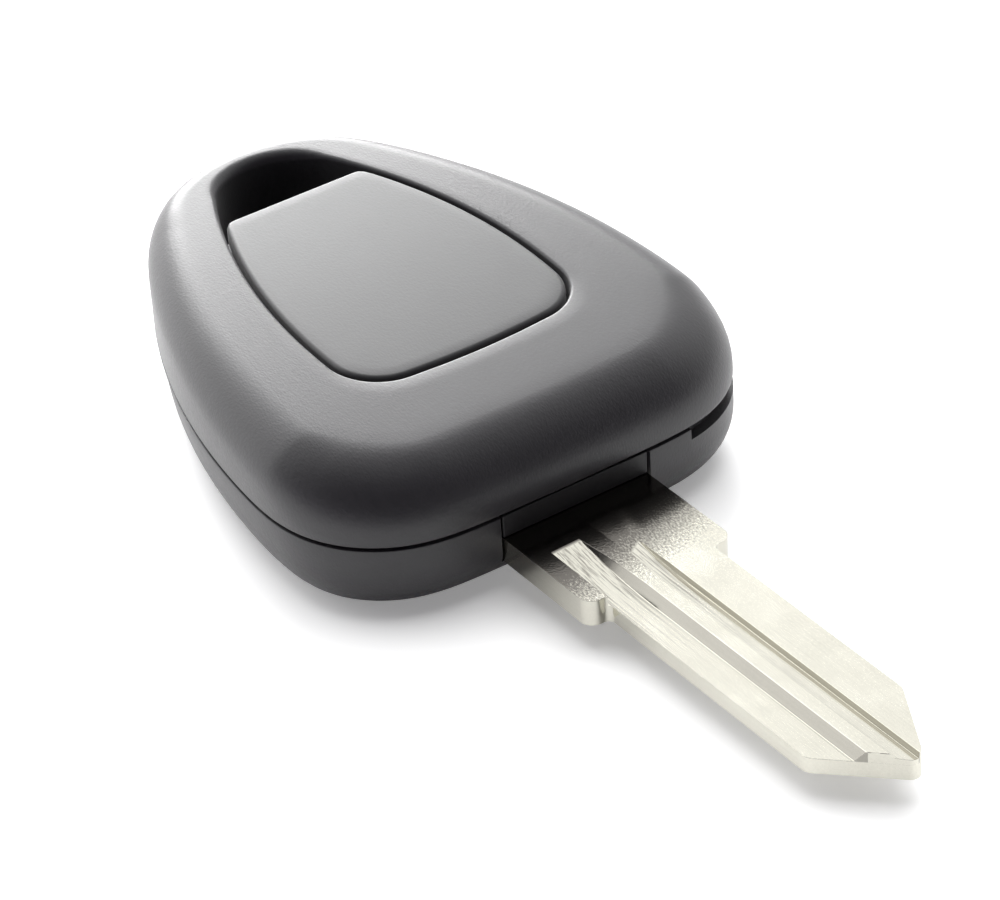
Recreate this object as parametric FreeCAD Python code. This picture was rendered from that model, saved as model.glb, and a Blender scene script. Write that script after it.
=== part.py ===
import FreeCAD, Part
import math
import os

# Remote car key: a teardrop head of two snapped shells with one large push
# button, a plain blade in front and a hole for a key ring behind the button.
# Millimetres. +X runs along the blade to its tip, +Z is up from the face that
# the key rests on, and the origin is under the middle of the whole key.

V = FreeCAD.Vector
os.makedirs("parts", exist_ok=True)

# Head outline, seen from above at the parting line
head_length = 43.3
head_half_width = 18.3
head_front_radius = 175.0
head_corner_radius = 9.3
head_side_radius = 58.0
head_rear_radius = 12.4

# Head heights and walls
lower_depth = 6.0
upper_height = 6.95
crown_radius = 420.0
crown_setback = 42.5
upper_round = 4.2
lower_round = 3.7
shell_wall = 1.6
parting_gap = 0.25

# Tongue of the lower shell that laps inside the upper one, and its snap beads
tongue_inset = 0.85
tongue_height = 1.0
tongue_clearance = 0.1
bead_radius = 0.38
bead_clearance = 0.08
bead_front_setback = 14.0
bead_spacing = 16.0

# Pry notch in the lower shell's rim
notch_start = 9.9
notch_length = 6.6
notch_depth = 0.85

# Opening in the upper shell, for the button and the key ring
opening_setback = 10.5
opening_half_width = 9.7
opening_front_radius = 60.0
opening_corner_radius = 4.2
opening_side_radius = 44.0
opening_rear_radius = 5.3
opening_round = 0.35
ring_rim = 3.4
ring_hole_length = 5.8
ring_hole_wall = 2.0
ring_hole_round = 0.6

# Push button
button_gap = 0.3
button_plate = 1.3
button_round = 0.4
button_travel = 0.5
button_flange_width = 0.8
button_flange_thickness = 0.7
button_post_radius = 2.2
stop_clearance = 0.05
over_travel = 0.15

# Blade
blade_reach = 34.65
blade_thickness = 2.0
blade_drop = 1.86
shoulder_half_width = 6.0
shoulder_reach = 9.4
shoulder_corner = 1.0
blade_half_width = 4.3
blade_root_fillet = 0.5
tip_offset = 0.75
tip_round = 0.7
tip_long_cut = 5.7
tip_short_cut = 4.8
tip_corner = 1.2
tang_length = 10.0
tang_half_width = 4.0
tang_step = 3.2
tang_hole_radius = 1.1
tang_hole_setback = 7.2
tang_hole_spacing = 4.4

# Milled profile of the blade
cutter_radius = 40.0
edge_groove_depth = 0.8
edge_groove_start = 3.1
edge_groove_outer = 4.5
ridge_foot = 2.15
ridge_side = 1.6
ridge_inner = 0.6
mid_groove_depth = 0.45
mid_groove_start = 5.5
mid_groove_near = 0.4
mid_groove_rise = 0.12
mid_groove_far = 0.85
mid_groove_wall = 0.95
under_groove_depth = 0.6
under_groove_inner = 1.2
under_groove_outer = 2.9

# Clamp over the tang and its screws
slot_clearance = 0.1
clamp_setback = 0.12
clamp_clearance = 0.05
clamp_half_width = 9.0
clamp_overhang = 0.5
pin_clearance = 0.1
screw_setback = 6.6
screw_spacing = 13.6
screw_shank_radius = 0.8
screw_head_radius = 1.6
screw_head_height = 0.9
screw_length = 3.0
screw_clearance = 0.1
screw_boss_radius = 1.9
drive_slot_width = 0.45
drive_slot_length = 1.9
drive_slot_depth = 0.5

# Circuit board
board_thickness = 1.0
board_inset = 2.2
board_rear_gap = 0.4
board_front_setback = 3.0
board_post_radius = 1.2
board_pin_radius = 0.5
front_post_setback = 22.0
rear_post_gap = 1.8
post_margin = 3.7

# Tactile switch under the button
switch_side = 6.0
switch_height = 1.6
switch_well_radius = 2.35
switch_floor = 0.5
switch_frame_thickness = 0.3
plunger_radius = 1.5
plunger_flange_radius = 2.2
plunger_flange_thickness = 0.4
plunger_rise = 0.6
plunger_travel = 0.25
plunger_clearance = 0.05
dome_thickness = 0.12
dome_radius = 2.1
boot_inner_radius = 4.6
boot_wall = 0.6

# Parts soldered to the board
chip_margin = 1.0
chip_offset = 4.85
chip_length = 5.0
chip_width = 4.0
chip_height = 1.45
chip_pins_a_side = 4
chip_pin_pitch = 1.27
chip_pin_width = 0.4
chip_pin_reach = 1.0
chip_pin_thickness = 0.2
resonator_side = 5.0
resonator_base = 0.5
resonator_lid = 0.9
resonator_margin = 0.4
coil_offset = 0.25
coil_radius = 1.6
coil_height = 1.5
coil_flange = 0.35
coil_core_radius = 1.15
transistor_gap = 0.3
transistor_length = 2.9
transistor_width = 1.3
transistor_height = 1.0
transistor_pin_reach = 0.55
passive_length = 1.6
passive_width = 0.8
passive_height = 0.5
passive_margin = 0.8
passive_pitch = 2.6
resistor_count = 4
capacitor_count = 3
antenna_gap = 0.3
antenna_width = 0.7
antenna_height = 0.8

# Coin cell, its contacts and the pad under them
cell_radius = 8.0
cell_height = 1.6
cell_rim = 0.6
contact_thickness = 0.2
contact_radius = 5.0
contact_dish_radius = 2.6
contact_dish = 0.35
clip_thickness = 0.3
clip_width = 5.0
clip_foot = 1.2
clip_side_gap = 0.4
cell_clearance = 0.05
pad_gap = 0.05
pad_radius = 6.5

# Transponder capsule and its cradle
capsule_radius = 1.5
capsule_length = 12.0
capsule_setback = 6.0
capsule_offset = 11.6
capsule_clearance = 0.1
cradle_wall = 0.8
cradle_depth = 1.9

# Places that follow from the sizes
key_length = head_length + blade_reach
front_x = key_length / 2 - blade_reach
rear_x = front_x - head_length
tip_x = key_length / 2
parting_z = lower_depth
lower_rim_z = parting_z - parting_gap / 2
upper_rim_z = parting_z + parting_gap / 2
crown_x = front_x - crown_setback
crown_z = parting_z + upper_height
floor_z = shell_wall
blade_top_z = parting_z - blade_drop
blade_bottom_z = blade_top_z - blade_thickness
opening_front_x = front_x - opening_setback
opening_rear_x = rear_x + ring_rim
ring_hole_front_x = opening_rear_x + ring_hole_length
cross_wall_x = ring_hole_front_x + ring_hole_wall
board_z = parting_z
board_top_z = board_z + board_thickness
switch_x = (opening_front_x + ring_hole_front_x) / 2
switch_top_z = board_top_z + switch_height
frame_top_z = switch_top_z + switch_frame_thickness
plunger_top_z = frame_top_z + plunger_rise
boot_inner_z = plunger_top_z + button_travel - plunger_travel + stop_clearance
boot_top_z = boot_inner_z + boot_wall
clamp_rear_x = front_x - tang_length - clamp_overhang
antenna_inset = post_margin + board_post_radius + antenna_gap
cell_x = (clamp_rear_x + cross_wall_x) / 2
cell_top_z = board_z - contact_thickness - contact_dish - cell_clearance
cell_bottom_z = cell_top_z - cell_height
clip_top_z = cell_bottom_z - cell_clearance
clip_bottom_z = clip_top_z - clip_thickness

# Room given to cutting tools beyond what they cut
beyond = 5.0

HEAD = {
    "front_x": front_x,
    "rear_x": rear_x,
    "half_width": head_half_width,
    "front_r": head_front_radius,
    "corner_r": head_corner_radius,
    "side_r": head_side_radius,
    "rear_r": head_rear_radius,
}

OPENING = {
    "front_x": opening_front_x,
    "rear_x": opening_rear_x,
    "half_width": opening_half_width,
    "front_r": opening_front_radius,
    "corner_r": opening_corner_radius,
    "side_r": opening_side_radius,
    "rear_r": opening_rear_radius,
}


def shrink(outline, inset):
    """The same teardrop moved inwards by inset, or outwards if that is negative."""
    small = {name: value - inset for name, value in outline.items()}
    small["rear_x"] = outline["rear_x"] + inset
    return small


def toward(centre, point, radius):
    """Point at a radius from a centre, in the direction of another point."""
    return centre + (point - centre).normalize() * radius


def arc_between(centre, start, end, radius):
    """Arc about a centre from one point to another, the short way round."""
    middle = centre + ((start - centre) + (end - centre)).normalize() * radius
    return Part.Arc(start, middle, end).toShape()


def mirrored(point):
    return V(point.x, -point.y, point.z)


def teardrop(outline, z):
    """Closed wire of six tangent arcs: front, two corners, two sides and rear."""
    front_r = outline["front_r"]
    corner_r = outline["corner_r"]
    side_r = outline["side_r"]
    rear_r = outline["rear_r"]
    front_c = V(outline["front_x"] - front_r, 0, z)
    rear_c = V(outline["rear_x"] + rear_r, 0, z)
    side_drop = side_r - outline["half_width"]
    side_c = V(rear_c.x + math.sqrt((side_r - rear_r) ** 2 - side_drop ** 2), -side_drop, z)
    # The corner's centre lies on two circles, about the front's and the side's centres.
    far = front_r - corner_r
    near = side_r - corner_r
    line = side_c - front_c
    span = line.Length
    along = (far ** 2 - near ** 2 + span ** 2) / (2 * span)
    across = math.sqrt(far ** 2 - along ** 2)
    line.normalize()
    corner_c = front_c + line * along + V(-line.y, line.x, 0) * across
    front_end = toward(front_c, corner_c, front_r)
    side_start = toward(side_c, corner_c, side_r)
    side_end = toward(side_c, rear_c, side_r)
    edges = [
        Part.Arc(mirrored(front_end), V(outline["front_x"], 0, z), front_end).toShape(),
        arc_between(corner_c, front_end, side_start, corner_r),
        arc_between(side_c, side_start, side_end, side_r),
        Part.Arc(side_end, V(outline["rear_x"], 0, z), mirrored(side_end)).toShape(),
        arc_between(mirrored(side_c), mirrored(side_end), mirrored(side_start), side_r),
        arc_between(mirrored(corner_c), mirrored(side_start), mirrored(front_end), corner_r),
    ]
    return Part.Wire(edges)


def half_width_at(outline, x):
    """Half width of the teardrop where its side arc passes x."""
    side_r = outline["side_r"]
    side_drop = side_r - outline["half_width"]
    rear_cx = outline["rear_x"] + outline["rear_r"]
    side_cx = rear_cx + math.sqrt((side_r - outline["rear_r"]) ** 2 - side_drop ** 2)
    return math.sqrt(side_r ** 2 - (x - side_cx) ** 2) - side_drop


def prism(outline, z_low, z_high):
    """Upright block with the teardrop's outline."""
    return Part.Face(teardrop(outline, z_low)).extrude(V(0, 0, z_high - z_low))


def block(x0, x1, y0, y1, z0, z1):
    return Part.makeBox(x1 - x0, y1 - y0, z1 - z0, V(x0, y0, z0))


def rod(x, y, z0, z1, radius):
    return Part.makeCylinder(radius, z1 - z0, V(x, y, z0))


def both_sides(shape):
    """A shape and its mirror image across the key's middle plane."""
    return [shape, shape.mirror(V(0, 0, 0), V(0, 1, 0))]


def crown_height_at(x, depth=0.0):
    """Height of the crowned top surface, or of one parallel to it at a depth."""
    radius = crown_radius - depth
    return crown_z - crown_radius + math.sqrt(radius ** 2 - (x - crown_x) ** 2)


def under_crown(depth):
    """Everything below the crowned top surface lowered by a depth."""
    x0 = rear_x - beyond
    x1 = front_x + beyond
    reach = head_half_width + beyond
    corners = [V(x, -reach, crown_height_at(x, depth)) for x in (x0, (x0 + x1) / 2, x1)]
    low_left = V(x0, -reach, -beyond)
    low_right = V(x1, -reach, -beyond)
    edges = [
        Part.Arc(*corners).toShape(),
        Part.LineSegment(corners[2], low_right).toShape(),
        Part.LineSegment(low_right, low_left).toShape(),
        Part.LineSegment(low_left, corners[0]).toShape(),
    ]
    return Part.Face(Part.Wire(edges)).extrude(V(0, 2 * reach, 0))


def edges_where(shape, test):
    """Edges with every one of five points passing a test; the poles of balls are left out."""
    real = [edge for edge in shape.Edges if not edge.Degenerated]
    return [edge for edge in real if all(test(point) for point in edge.discretize(5))]


def crown_edges(shape, depth):
    """Edges that lie on the crowned surface."""
    return edges_where(shape, lambda p: abs(p.z - crown_height_at(p.x, depth)) < 0.002)


def level_edges(shape, z):
    """Edges that lie at one height."""
    return edges_where(shape, lambda p: abs(p.z - z) < 0.001)


def upper_form(inset, depth, z_low, radius):
    """Upper half of the head: upright walls, crowned top, rounded edge."""
    body = prism(shrink(HEAD, inset), z_low, crown_z + beyond).common(under_crown(depth))
    return body.makeFillet(radius, crown_edges(body, depth))


def lower_form(inset, z_low, z_high, radius):
    """Lower half of the head: upright walls, flat underside, rounded edge."""
    body = prism(shrink(HEAD, inset), z_low, z_high)
    return body.makeFillet(radius, level_edges(body, z_low))


def ring_hole(z_low, z_high):
    """Half-round hole behind the button, through both shells."""
    hole = prism(OPENING, z_low, z_high)
    return hole.common(block(rear_x, ring_hole_front_x, -head_half_width, head_half_width, z_low, z_high))


def ring_hole_tube(z_low, z_high):
    """Solid block around the key ring hole, before the hole is cut."""
    around = prism(shrink(OPENING, -ring_hole_wall), z_low, z_high)
    return around.common(block(rear_x, cross_wall_x, -head_half_width, head_half_width, z_low, z_high))


def board_posts(z_low, z_high, radius):
    """One round post under each of the board's four fixing holes."""
    posts = []
    for x in (front_x - front_post_setback, cross_wall_x + rear_post_gap):
        posts += both_sides(rod(x, half_width_at(HEAD, x) - post_margin, z_low, z_high, radius))
    return posts


def snap_beads(radius):
    """Balls on the tongue's outer face, at two places on each side."""
    outline = shrink(HEAD, tongue_inset)
    z = parting_z + tongue_height / 2
    beads = []
    for step in range(2):
        x = front_x - bead_front_setback - step * bead_spacing
        beads += both_sides(Part.makeSphere(radius, V(x, half_width_at(outline, x), z)))
    return beads


def tongue_ring(clearance):
    """Band in which the tongue rises, grown by a clearance outwards and upwards."""
    z_low = lower_rim_z - beyond
    z_high = parting_z + tongue_height + clearance
    return prism(shrink(HEAD, tongue_inset - clearance), z_low, z_high)


def upper_shell():
    shell = upper_form(0.0, 0.0, upper_rim_z, upper_round)
    cavity = upper_form(shell_wall, shell_wall, upper_rim_z, upper_round - shell_wall)
    solid_around_hole = ring_hole_tube(upper_rim_z, crown_z + beyond).common(shell)
    hold_downs = [post.common(shell) for post in board_posts(board_top_z + stop_clearance, crown_z, board_post_radius)]
    shell = shell.cut(cavity).fuse([solid_around_hole] + hold_downs)
    # The opening goes right through at the key ring hole, and as deep as the button moves.
    shell = shell.cut(ring_hole(0.0, crown_z + beyond))
    well_depth = button_plate + button_travel + over_travel
    well = prism(OPENING, lower_rim_z, crown_z + beyond).cut(under_crown(well_depth))
    shell = shell.cut(well)
    shell = shell.cut(tongue_ring(tongue_clearance).common(block(
        rear_x, front_x, -head_half_width, head_half_width, upper_rim_z, crown_z)))
    shell = shell.cut(snap_beads(bead_radius + bead_clearance))
    rim = [e for e in crown_edges(shell, 0.0) if inside_opening(e)]
    return shell.makeFillet(opening_round, rim).removeSplitter()


def inside_opening(edge):
    """Whether an edge belongs to the opening and not to the head's outer round."""
    point = edge.discretize(3)[1]
    return abs(point.y) < opening_half_width + opening_round and point.x > opening_rear_x - opening_round


def blade_bed():
    """Raised bed under the tang, with its two locating pins and the screw bosses."""
    bed_top = blade_bottom_z - clamp_clearance
    pieces = [block(clamp_rear_x, front_x, -shoulder_half_width, shoulder_half_width, 0.0, bed_top)]
    pin = rod(front_x - tang_hole_setback, tang_hole_spacing / 2, 0.0, lower_rim_z - screw_head_height,
              tang_hole_radius - pin_clearance)
    pieces += both_sides(pin)
    boss = rod(front_x - screw_setback, screw_spacing / 2, 0.0, blade_top_z, screw_boss_radius)
    pieces += both_sides(boss)
    return pieces


def cradle():
    """Trough on the floor that holds the transponder capsule."""
    x1 = front_x - capsule_setback + capsule_clearance + cradle_wall
    x0 = front_x - capsule_setback - capsule_length - capsule_clearance - cradle_wall
    side = capsule_radius + capsule_clearance + cradle_wall
    body = block(x0, x1, capsule_offset - side, capsule_offset + side, 0.0, floor_z + cradle_depth)
    pocket = capsule_form(capsule_radius + capsule_clearance, capsule_clearance)
    straight_up = block(x0 + cradle_wall, x1 - cradle_wall, capsule_offset - capsule_radius - capsule_clearance,
                        capsule_offset + capsule_radius + capsule_clearance, capsule_z(), parting_z)
    return body.cut(pocket).cut(straight_up)


def capsule_z():
    return floor_z + capsule_clearance + capsule_radius


def capsule_form(radius, extra):
    start = front_x - capsule_setback - capsule_length - extra
    base = V(start, capsule_offset, capsule_z())
    return Part.makeCylinder(radius, capsule_length + 2 * extra, base, V(1, 0, 0))


def pry_notch():
    """Cut in the outer half of the rim, round the front corner."""
    ring = prism(HEAD, lower_rim_z - notch_depth, parting_z).cut(
        prism(shrink(HEAD, tongue_inset), lower_rim_z - notch_depth, parting_z))
    corner = block(front_x - notch_length, front_x + beyond, notch_start, head_half_width + beyond,
                   lower_rim_z - notch_depth, parting_z)
    return ring.common(corner)


def lower_shell():
    outer = lower_form(0.0, 0.0, lower_rim_z, lower_round)
    cavity = lower_form(shell_wall, floor_z, lower_rim_z, lower_round - shell_wall)
    tongue = tongue_ring(0.0).cut(prism(shrink(HEAD, shell_wall), -beyond, crown_z))
    tongue = tongue.common(block(rear_x, front_x, -head_half_width, head_half_width,
                                 lower_rim_z - notch_depth - tongue_height, crown_z))
    inside = blade_bed() + board_posts(0.0, board_z - clamp_clearance, board_post_radius)
    inside += board_posts(0.0, board_top_z - stop_clearance, board_pin_radius)
    inside += [cradle(), ring_hole_tube(0.0, lower_rim_z)]
    inside = [piece.common(whole_head()) for piece in inside]
    shell = outer.cut(cavity).fuse(inside + [tongue] + snap_beads(bead_radius))
    shell = shell.cut(ring_hole(-beyond, crown_z))
    shell = shell.cut(blade_slot())
    shell = shell.cut(both_sides(screw_pilot()))
    shell = shell.cut(pry_notch())
    under_hole = [e for e in level_edges(shell, 0.0) if e.BoundBox.XMax < ring_hole_front_x + 0.01]
    under_hole = [e for e in under_hole if abs(e.BoundBox.YMax) <= opening_half_width]
    return shell.makeFillet(ring_hole_round, under_hole).removeSplitter()


def whole_head():
    """The outer form of the lower half with room above it, to trim inner pieces."""
    outer = lower_form(0.0, 0.0, lower_rim_z, lower_round)
    above = prism(shrink(HEAD, shell_wall), lower_rim_z, crown_z)
    return outer.fuse(above)


def blade_slot():
    """Slot in the front wall for the blade's shoulder and the clamp above it."""
    half = shoulder_half_width + slot_clearance
    return block(front_x - tang_step, front_x + beyond, -half, half, blade_bottom_z - clamp_clearance, crown_z)


def screw_pilot():
    bottom = blade_top_z - screw_length - screw_clearance
    return rod(front_x - screw_setback, screw_spacing / 2, bottom, crown_z, screw_shank_radius + clamp_clearance / 2)


def push_button():
    well = shrink(OPENING, button_gap)
    rear_edge = ring_hole_front_x + stop_clearance
    front = block(rear_edge, front_x, -head_half_width, head_half_width, 0.0, crown_z + beyond)
    plate = prism(well, 0.0, crown_z + beyond).common(front)
    plate = plate.common(under_crown(0.0)).cut(under_crown(button_plate))
    plate = plate.makeFillet(button_round, crown_edges(plate, 0.0))
    flange_top = shell_wall + stop_clearance
    flange_depth = flange_top + button_flange_thickness
    inside = shrink(OPENING, button_gap + button_flange_width)
    neck = prism(well, 0.0, crown_z).cut(prism(inside, 0.0, crown_z))
    neck = neck.common(under_crown(button_plate / 2)).cut(under_crown(flange_depth))
    flange = prism(shrink(OPENING, -button_flange_width), 0.0, crown_z).cut(prism(inside, 0.0, crown_z))
    flange = flange.common(under_crown(flange_top)).cut(under_crown(flange_depth))
    ahead = block(cross_wall_x + over_travel, front_x, -head_half_width, head_half_width, 0.0, crown_z)
    post = rod(switch_x, 0.0, boot_top_z + stop_clearance, crown_z, button_post_radius)
    post = post.common(under_crown(button_plate / 2))
    skirt = neck.fuse(flange).common(ahead)
    return plate.fuse([skirt, post]).removeSplitter()


def corner_at(shape, x, y):
    """Upright edge of a flat plate at one corner of its outline."""
    for edge in shape.Edges:
        box = edge.BoundBox
        upright = box.ZLength > blade_thickness / 2
        if upright and abs(box.Center.x - x) < 0.01 and abs(box.Center.y - y) < 0.01:
            return edge
    raise ValueError("no corner at %.2f, %.2f" % (x, y))


def nose_touch(corner, centre, side):
    """Where a line from a corner touches the round nose, on its left (1) or right (-1) side."""
    line = centre - corner
    swing = side * math.acos(tip_round / line.Length)
    back = (corner - centre).normalize() * tip_round
    turned = V(back.x * math.cos(swing) - back.y * math.sin(swing),
               back.x * math.sin(swing) + back.y * math.cos(swing), 0)
    return centre + turned


def blade_blank():
    """Flat blank: narrow tang, shoulder, blade and pointed tip with a round nose."""
    shoulder_x = front_x + shoulder_reach
    long_x = tip_x - tip_long_cut
    short_x = tip_x - tip_short_cut
    tang_x = front_x - tang_length
    step_x = front_x - tang_step
    nose = V(tip_x - tip_round, tip_offset, 0)
    short_touch = nose_touch(V(short_x, -blade_half_width, 0), nose, 1)
    long_touch = nose_touch(V(long_x, blade_half_width, 0), nose, -1)
    points = [
        long_touch, V(long_x, blade_half_width, 0), V(shoulder_x, blade_half_width, 0),
        V(shoulder_x, shoulder_half_width, 0), V(step_x, shoulder_half_width, 0), V(step_x, tang_half_width, 0),
        V(tang_x, tang_half_width, 0), V(tang_x, -tang_half_width, 0), V(step_x, -tang_half_width, 0),
        V(step_x, -shoulder_half_width, 0), V(shoulder_x, -shoulder_half_width, 0),
        V(shoulder_x, -blade_half_width, 0), V(short_x, -blade_half_width, 0), short_touch,
    ]
    edges = [Part.LineSegment(a, b).toShape() for a, b in zip(points, points[1:])]
    edges.append(Part.Arc(short_touch, V(tip_x, tip_offset, 0), long_touch).toShape())
    blank = Part.Face(Part.Wire(edges)).extrude(V(0, 0, blade_thickness))
    blank.translate(V(0, 0, blade_bottom_z))
    # Both rounds of a shoulder share its step, whatever its width.
    step = shoulder_half_width - blade_half_width
    corner = min(shoulder_corner, 0.62 * step)
    root = min(blade_root_fillet, 0.33 * step)
    rounds = [
        (shoulder_x, -shoulder_half_width, corner), (shoulder_x, shoulder_half_width, corner),
        (shoulder_x, -blade_half_width, root), (shoulder_x, blade_half_width, root),
        (short_x, -blade_half_width, tip_corner), (long_x, blade_half_width, tip_corner),
    ]
    for x, y, radius in rounds:
        blank = blank.makeFillet(radius, [corner_at(blank, x, y)])
    return blank


def milled(profile, depth, start):
    """Groove cut by a wheel: level from the tip, then curving up and out near the shoulder."""
    run_out = math.sqrt(2 * cutter_radius * depth)
    level_x = front_x + start + run_out
    floor = blade_top_z - depth
    far = V(tip_x + beyond, 0, floor)
    turn = V(level_x, 0, floor)
    centre = V(level_x, 0, floor + cutter_radius)
    lift = math.acos(1 - (depth + blade_thickness / 2) / cutter_radius)
    middle = centre + V(-math.sin(lift / 2), 0, -math.cos(lift / 2)) * cutter_radius
    end = centre + V(-math.sin(lift), 0, -math.cos(lift)) * cutter_radius
    path = Part.Wire([Part.LineSegment(far, turn).toShape(), Part.Arc(turn, middle, end).toShape()])
    section = Part.makePolygon([V(far.x, y, floor + z) for y, z in profile + profile[:1]])
    return path.makePipeShell([section], True, False)


def key_blade():
    blank = blade_blank()
    tall = 2 * blade_thickness
    ridge_slope = (ridge_foot - ridge_side) / edge_groove_depth
    edge_profile = [
        (-edge_groove_outer, 0.0), (-ridge_foot, 0.0), (-ridge_foot + ridge_slope * tall, tall),
        (-edge_groove_outer, tall),
    ]
    mid_profile = [
        (-mid_groove_near, mid_groove_rise), (mid_groove_far, 0.0), (mid_groove_wall, mid_groove_depth),
        (-ridge_inner, mid_groove_depth),
    ]
    blank = blank.cut(milled(edge_profile, edge_groove_depth, edge_groove_start))
    blank = blank.cut(milled(mid_profile, mid_groove_depth, mid_groove_start))
    under = block(front_x + shoulder_reach, tip_x + beyond, under_groove_inner, under_groove_outer,
                  blade_bottom_z - beyond, blade_bottom_z + under_groove_depth)
    blank = blank.cut(under)
    hole = rod(front_x - tang_hole_setback, tang_hole_spacing / 2, 0.0, crown_z, tang_hole_radius)
    return blank.cut(both_sides(hole))


def blade_clamp():
    """Plate over the tang: its front end shows as the strip above the blade."""
    x1 = front_x - clamp_setback
    x0 = clamp_rear_x
    bottom = blade_top_z + clamp_clearance
    top = board_z - 2 * clamp_clearance
    strip_half = shoulder_half_width
    strip = block(x0, x1, -strip_half, strip_half, bottom, top)
    ears = block(x0, front_x - tang_step - clamp_clearance, -clamp_half_width, clamp_half_width, bottom, top)
    ridge = block(front_x - shell_wall, front_x - tongue_inset - tongue_clearance, -strip_half, strip_half,
                  bottom, parting_z + tongue_height - tongue_clearance)
    clamp = strip.fuse([ears, ridge])
    pin = rod(front_x - tang_hole_setback, tang_hole_spacing / 2, 0.0, crown_z, tang_hole_radius)
    shank = rod(front_x - screw_setback, screw_spacing / 2, 0.0, crown_z, screw_shank_radius + screw_clearance)
    head = rod(front_x - screw_setback, screw_spacing / 2, top - screw_head_height - clamp_clearance, crown_z,
               screw_head_radius + screw_clearance)
    return clamp.cut(both_sides(pin) + both_sides(shank) + both_sides(head)).removeSplitter()


def clamp_screws():
    """Two countersunk self-tapping screws, with crossed drive slots."""
    x = front_x - screw_setback
    y = screw_spacing / 2
    top = board_z - 3 * clamp_clearance
    under_head = top - screw_head_height
    head = rod(x, y, under_head, top, screw_head_radius)
    shank = rod(x, y, blade_top_z - screw_length, under_head, screw_shank_radius)
    long_half = drive_slot_length / 2
    wide_half = drive_slot_width / 2
    slot_z = top - drive_slot_depth
    slots = [
        block(x - long_half, x + long_half, y - wide_half, y + wide_half, slot_z, crown_z),
        block(x - wide_half, x + wide_half, y - long_half, y + long_half, slot_z, crown_z),
    ]
    screw = head.fuse(shank).removeSplitter().cut(slots)
    return Part.makeCompound(both_sides(screw))


def circuit_board():
    outline = shrink(HEAD, board_inset)
    board = prism(outline, board_z, board_top_z)
    kept = block(cross_wall_x + board_rear_gap, front_x - board_front_setback, -head_half_width, head_half_width,
                 board_z, board_top_z)
    return board.common(kept).cut(board_posts(0.0, crown_z, board_pin_radius + pin_clearance))


def switch_housing():
    half = switch_side / 2
    body = block(switch_x - half, switch_x + half, -half, half, board_top_z, switch_top_z)
    return body.cut(rod(switch_x, 0.0, board_top_z + switch_floor, crown_z, switch_well_radius))


def switch_frame():
    half = switch_side / 2
    plate = block(switch_x - half, switch_x + half, -half, half, switch_top_z, frame_top_z)
    return plate.cut(rod(switch_x, 0.0, board_z, crown_z, plunger_radius + plunger_clearance))


def switch_plunger():
    flange_top = switch_top_z - plunger_clearance
    flange = rod(switch_x, 0.0, flange_top - plunger_flange_thickness, flange_top, plunger_flange_radius)
    stem = rod(switch_x, 0.0, flange_top - plunger_flange_thickness, plunger_top_z, plunger_radius)
    return flange.fuse(stem).removeSplitter()


def cap_profile(radius, height, base_z):
    """Sphere radius and centre height of a shallow cap with a rim radius and a rise."""
    sphere_radius = (radius ** 2 + height ** 2) / (2 * height)
    return sphere_radius, base_z + height - sphere_radius


def switch_dome():
    """Domed spring disc that gives the click and pushes the plunger back."""
    base_z = board_top_z + switch_floor
    rise = switch_top_z - plunger_clearance - plunger_flange_thickness - plunger_clearance - base_z
    sphere_radius, centre_z = cap_profile(dome_radius, rise, base_z)
    outer = Part.makeSphere(sphere_radius, V(switch_x, 0, centre_z))
    inner = Part.makeSphere(sphere_radius - dome_thickness, V(switch_x, 0, centre_z))
    return outer.cut(inner).common(rod(switch_x, 0.0, base_z, crown_z, switch_well_radius))


def switch_boot():
    """Soft rubber cap over the switch, standing on the board."""
    outer = rod(switch_x, 0.0, board_top_z, boot_top_z, boot_inner_radius + boot_wall)
    outer = outer.makeFillet(boot_wall, level_edges(outer, boot_top_z))
    return outer.cut(rod(switch_x, 0.0, board_top_z, boot_inner_z, boot_inner_radius))


def gull_pin(x, y, direction):
    """One bent leg of a chip: out of the body, down, and along the board."""
    half = chip_pin_width / 2
    knee = y + direction * chip_pin_reach / 2
    end = y + direction * chip_pin_reach
    mid_z = board_top_z + chip_height / 2
    low, high = sorted((y, knee + direction * chip_pin_thickness / 2))
    out = block(x - half, x + half, low, high, mid_z, mid_z + chip_pin_thickness)
    low, high = sorted((knee - direction * chip_pin_thickness / 2, knee + direction * chip_pin_thickness / 2))
    down = block(x - half, x + half, low, high, board_top_z, mid_z + chip_pin_thickness)
    low, high = sorted((knee - direction * chip_pin_thickness / 2, end))
    foot = block(x - half, x + half, low, high, board_top_z, board_top_z + chip_pin_thickness)
    return out.fuse([down, foot]).removeSplitter()


def chip_place():
    """Middle of the coding chip, ahead of the boot and left of the middle line."""
    return switch_x + boot_inner_radius + boot_wall + chip_margin + chip_length / 2, -chip_offset


def controller_chip():
    """Eight-legged coding chip, its body and legs as one group."""
    x, y = chip_place()
    stand_off = chip_pin_thickness / 2
    body = block(x - chip_length / 2, x + chip_length / 2, y - chip_width / 2, y + chip_width / 2,
                 board_top_z + stand_off, board_top_z + chip_height)
    pins = []
    first_x = x - (chip_pins_a_side - 1) * chip_pin_pitch / 2
    for number in range(chip_pins_a_side):
        pin_x = first_x + number * chip_pin_pitch
        for direction in (-1, 1):
            pins.append(gull_pin(pin_x, y + direction * chip_width / 2, direction))
    return body.fuse(pins).removeSplitter()


def radio_resonator():
    """Ceramic base with a metal lid, beside the coding chip."""
    x, y = chip_place()
    half = resonator_side / 2
    base = block(x - half, x + half, -y - half, -y + half, board_top_z, board_top_z + resonator_base)
    half -= resonator_margin
    lid_z = board_top_z + resonator_base
    lid = block(x - half, x + half, -y - half, -y + half, lid_z, lid_z + resonator_lid)
    lid = lid.makeFillet(resonator_margin / 2, level_edges(lid, lid_z + resonator_lid))
    return base.fuse(lid)


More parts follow.
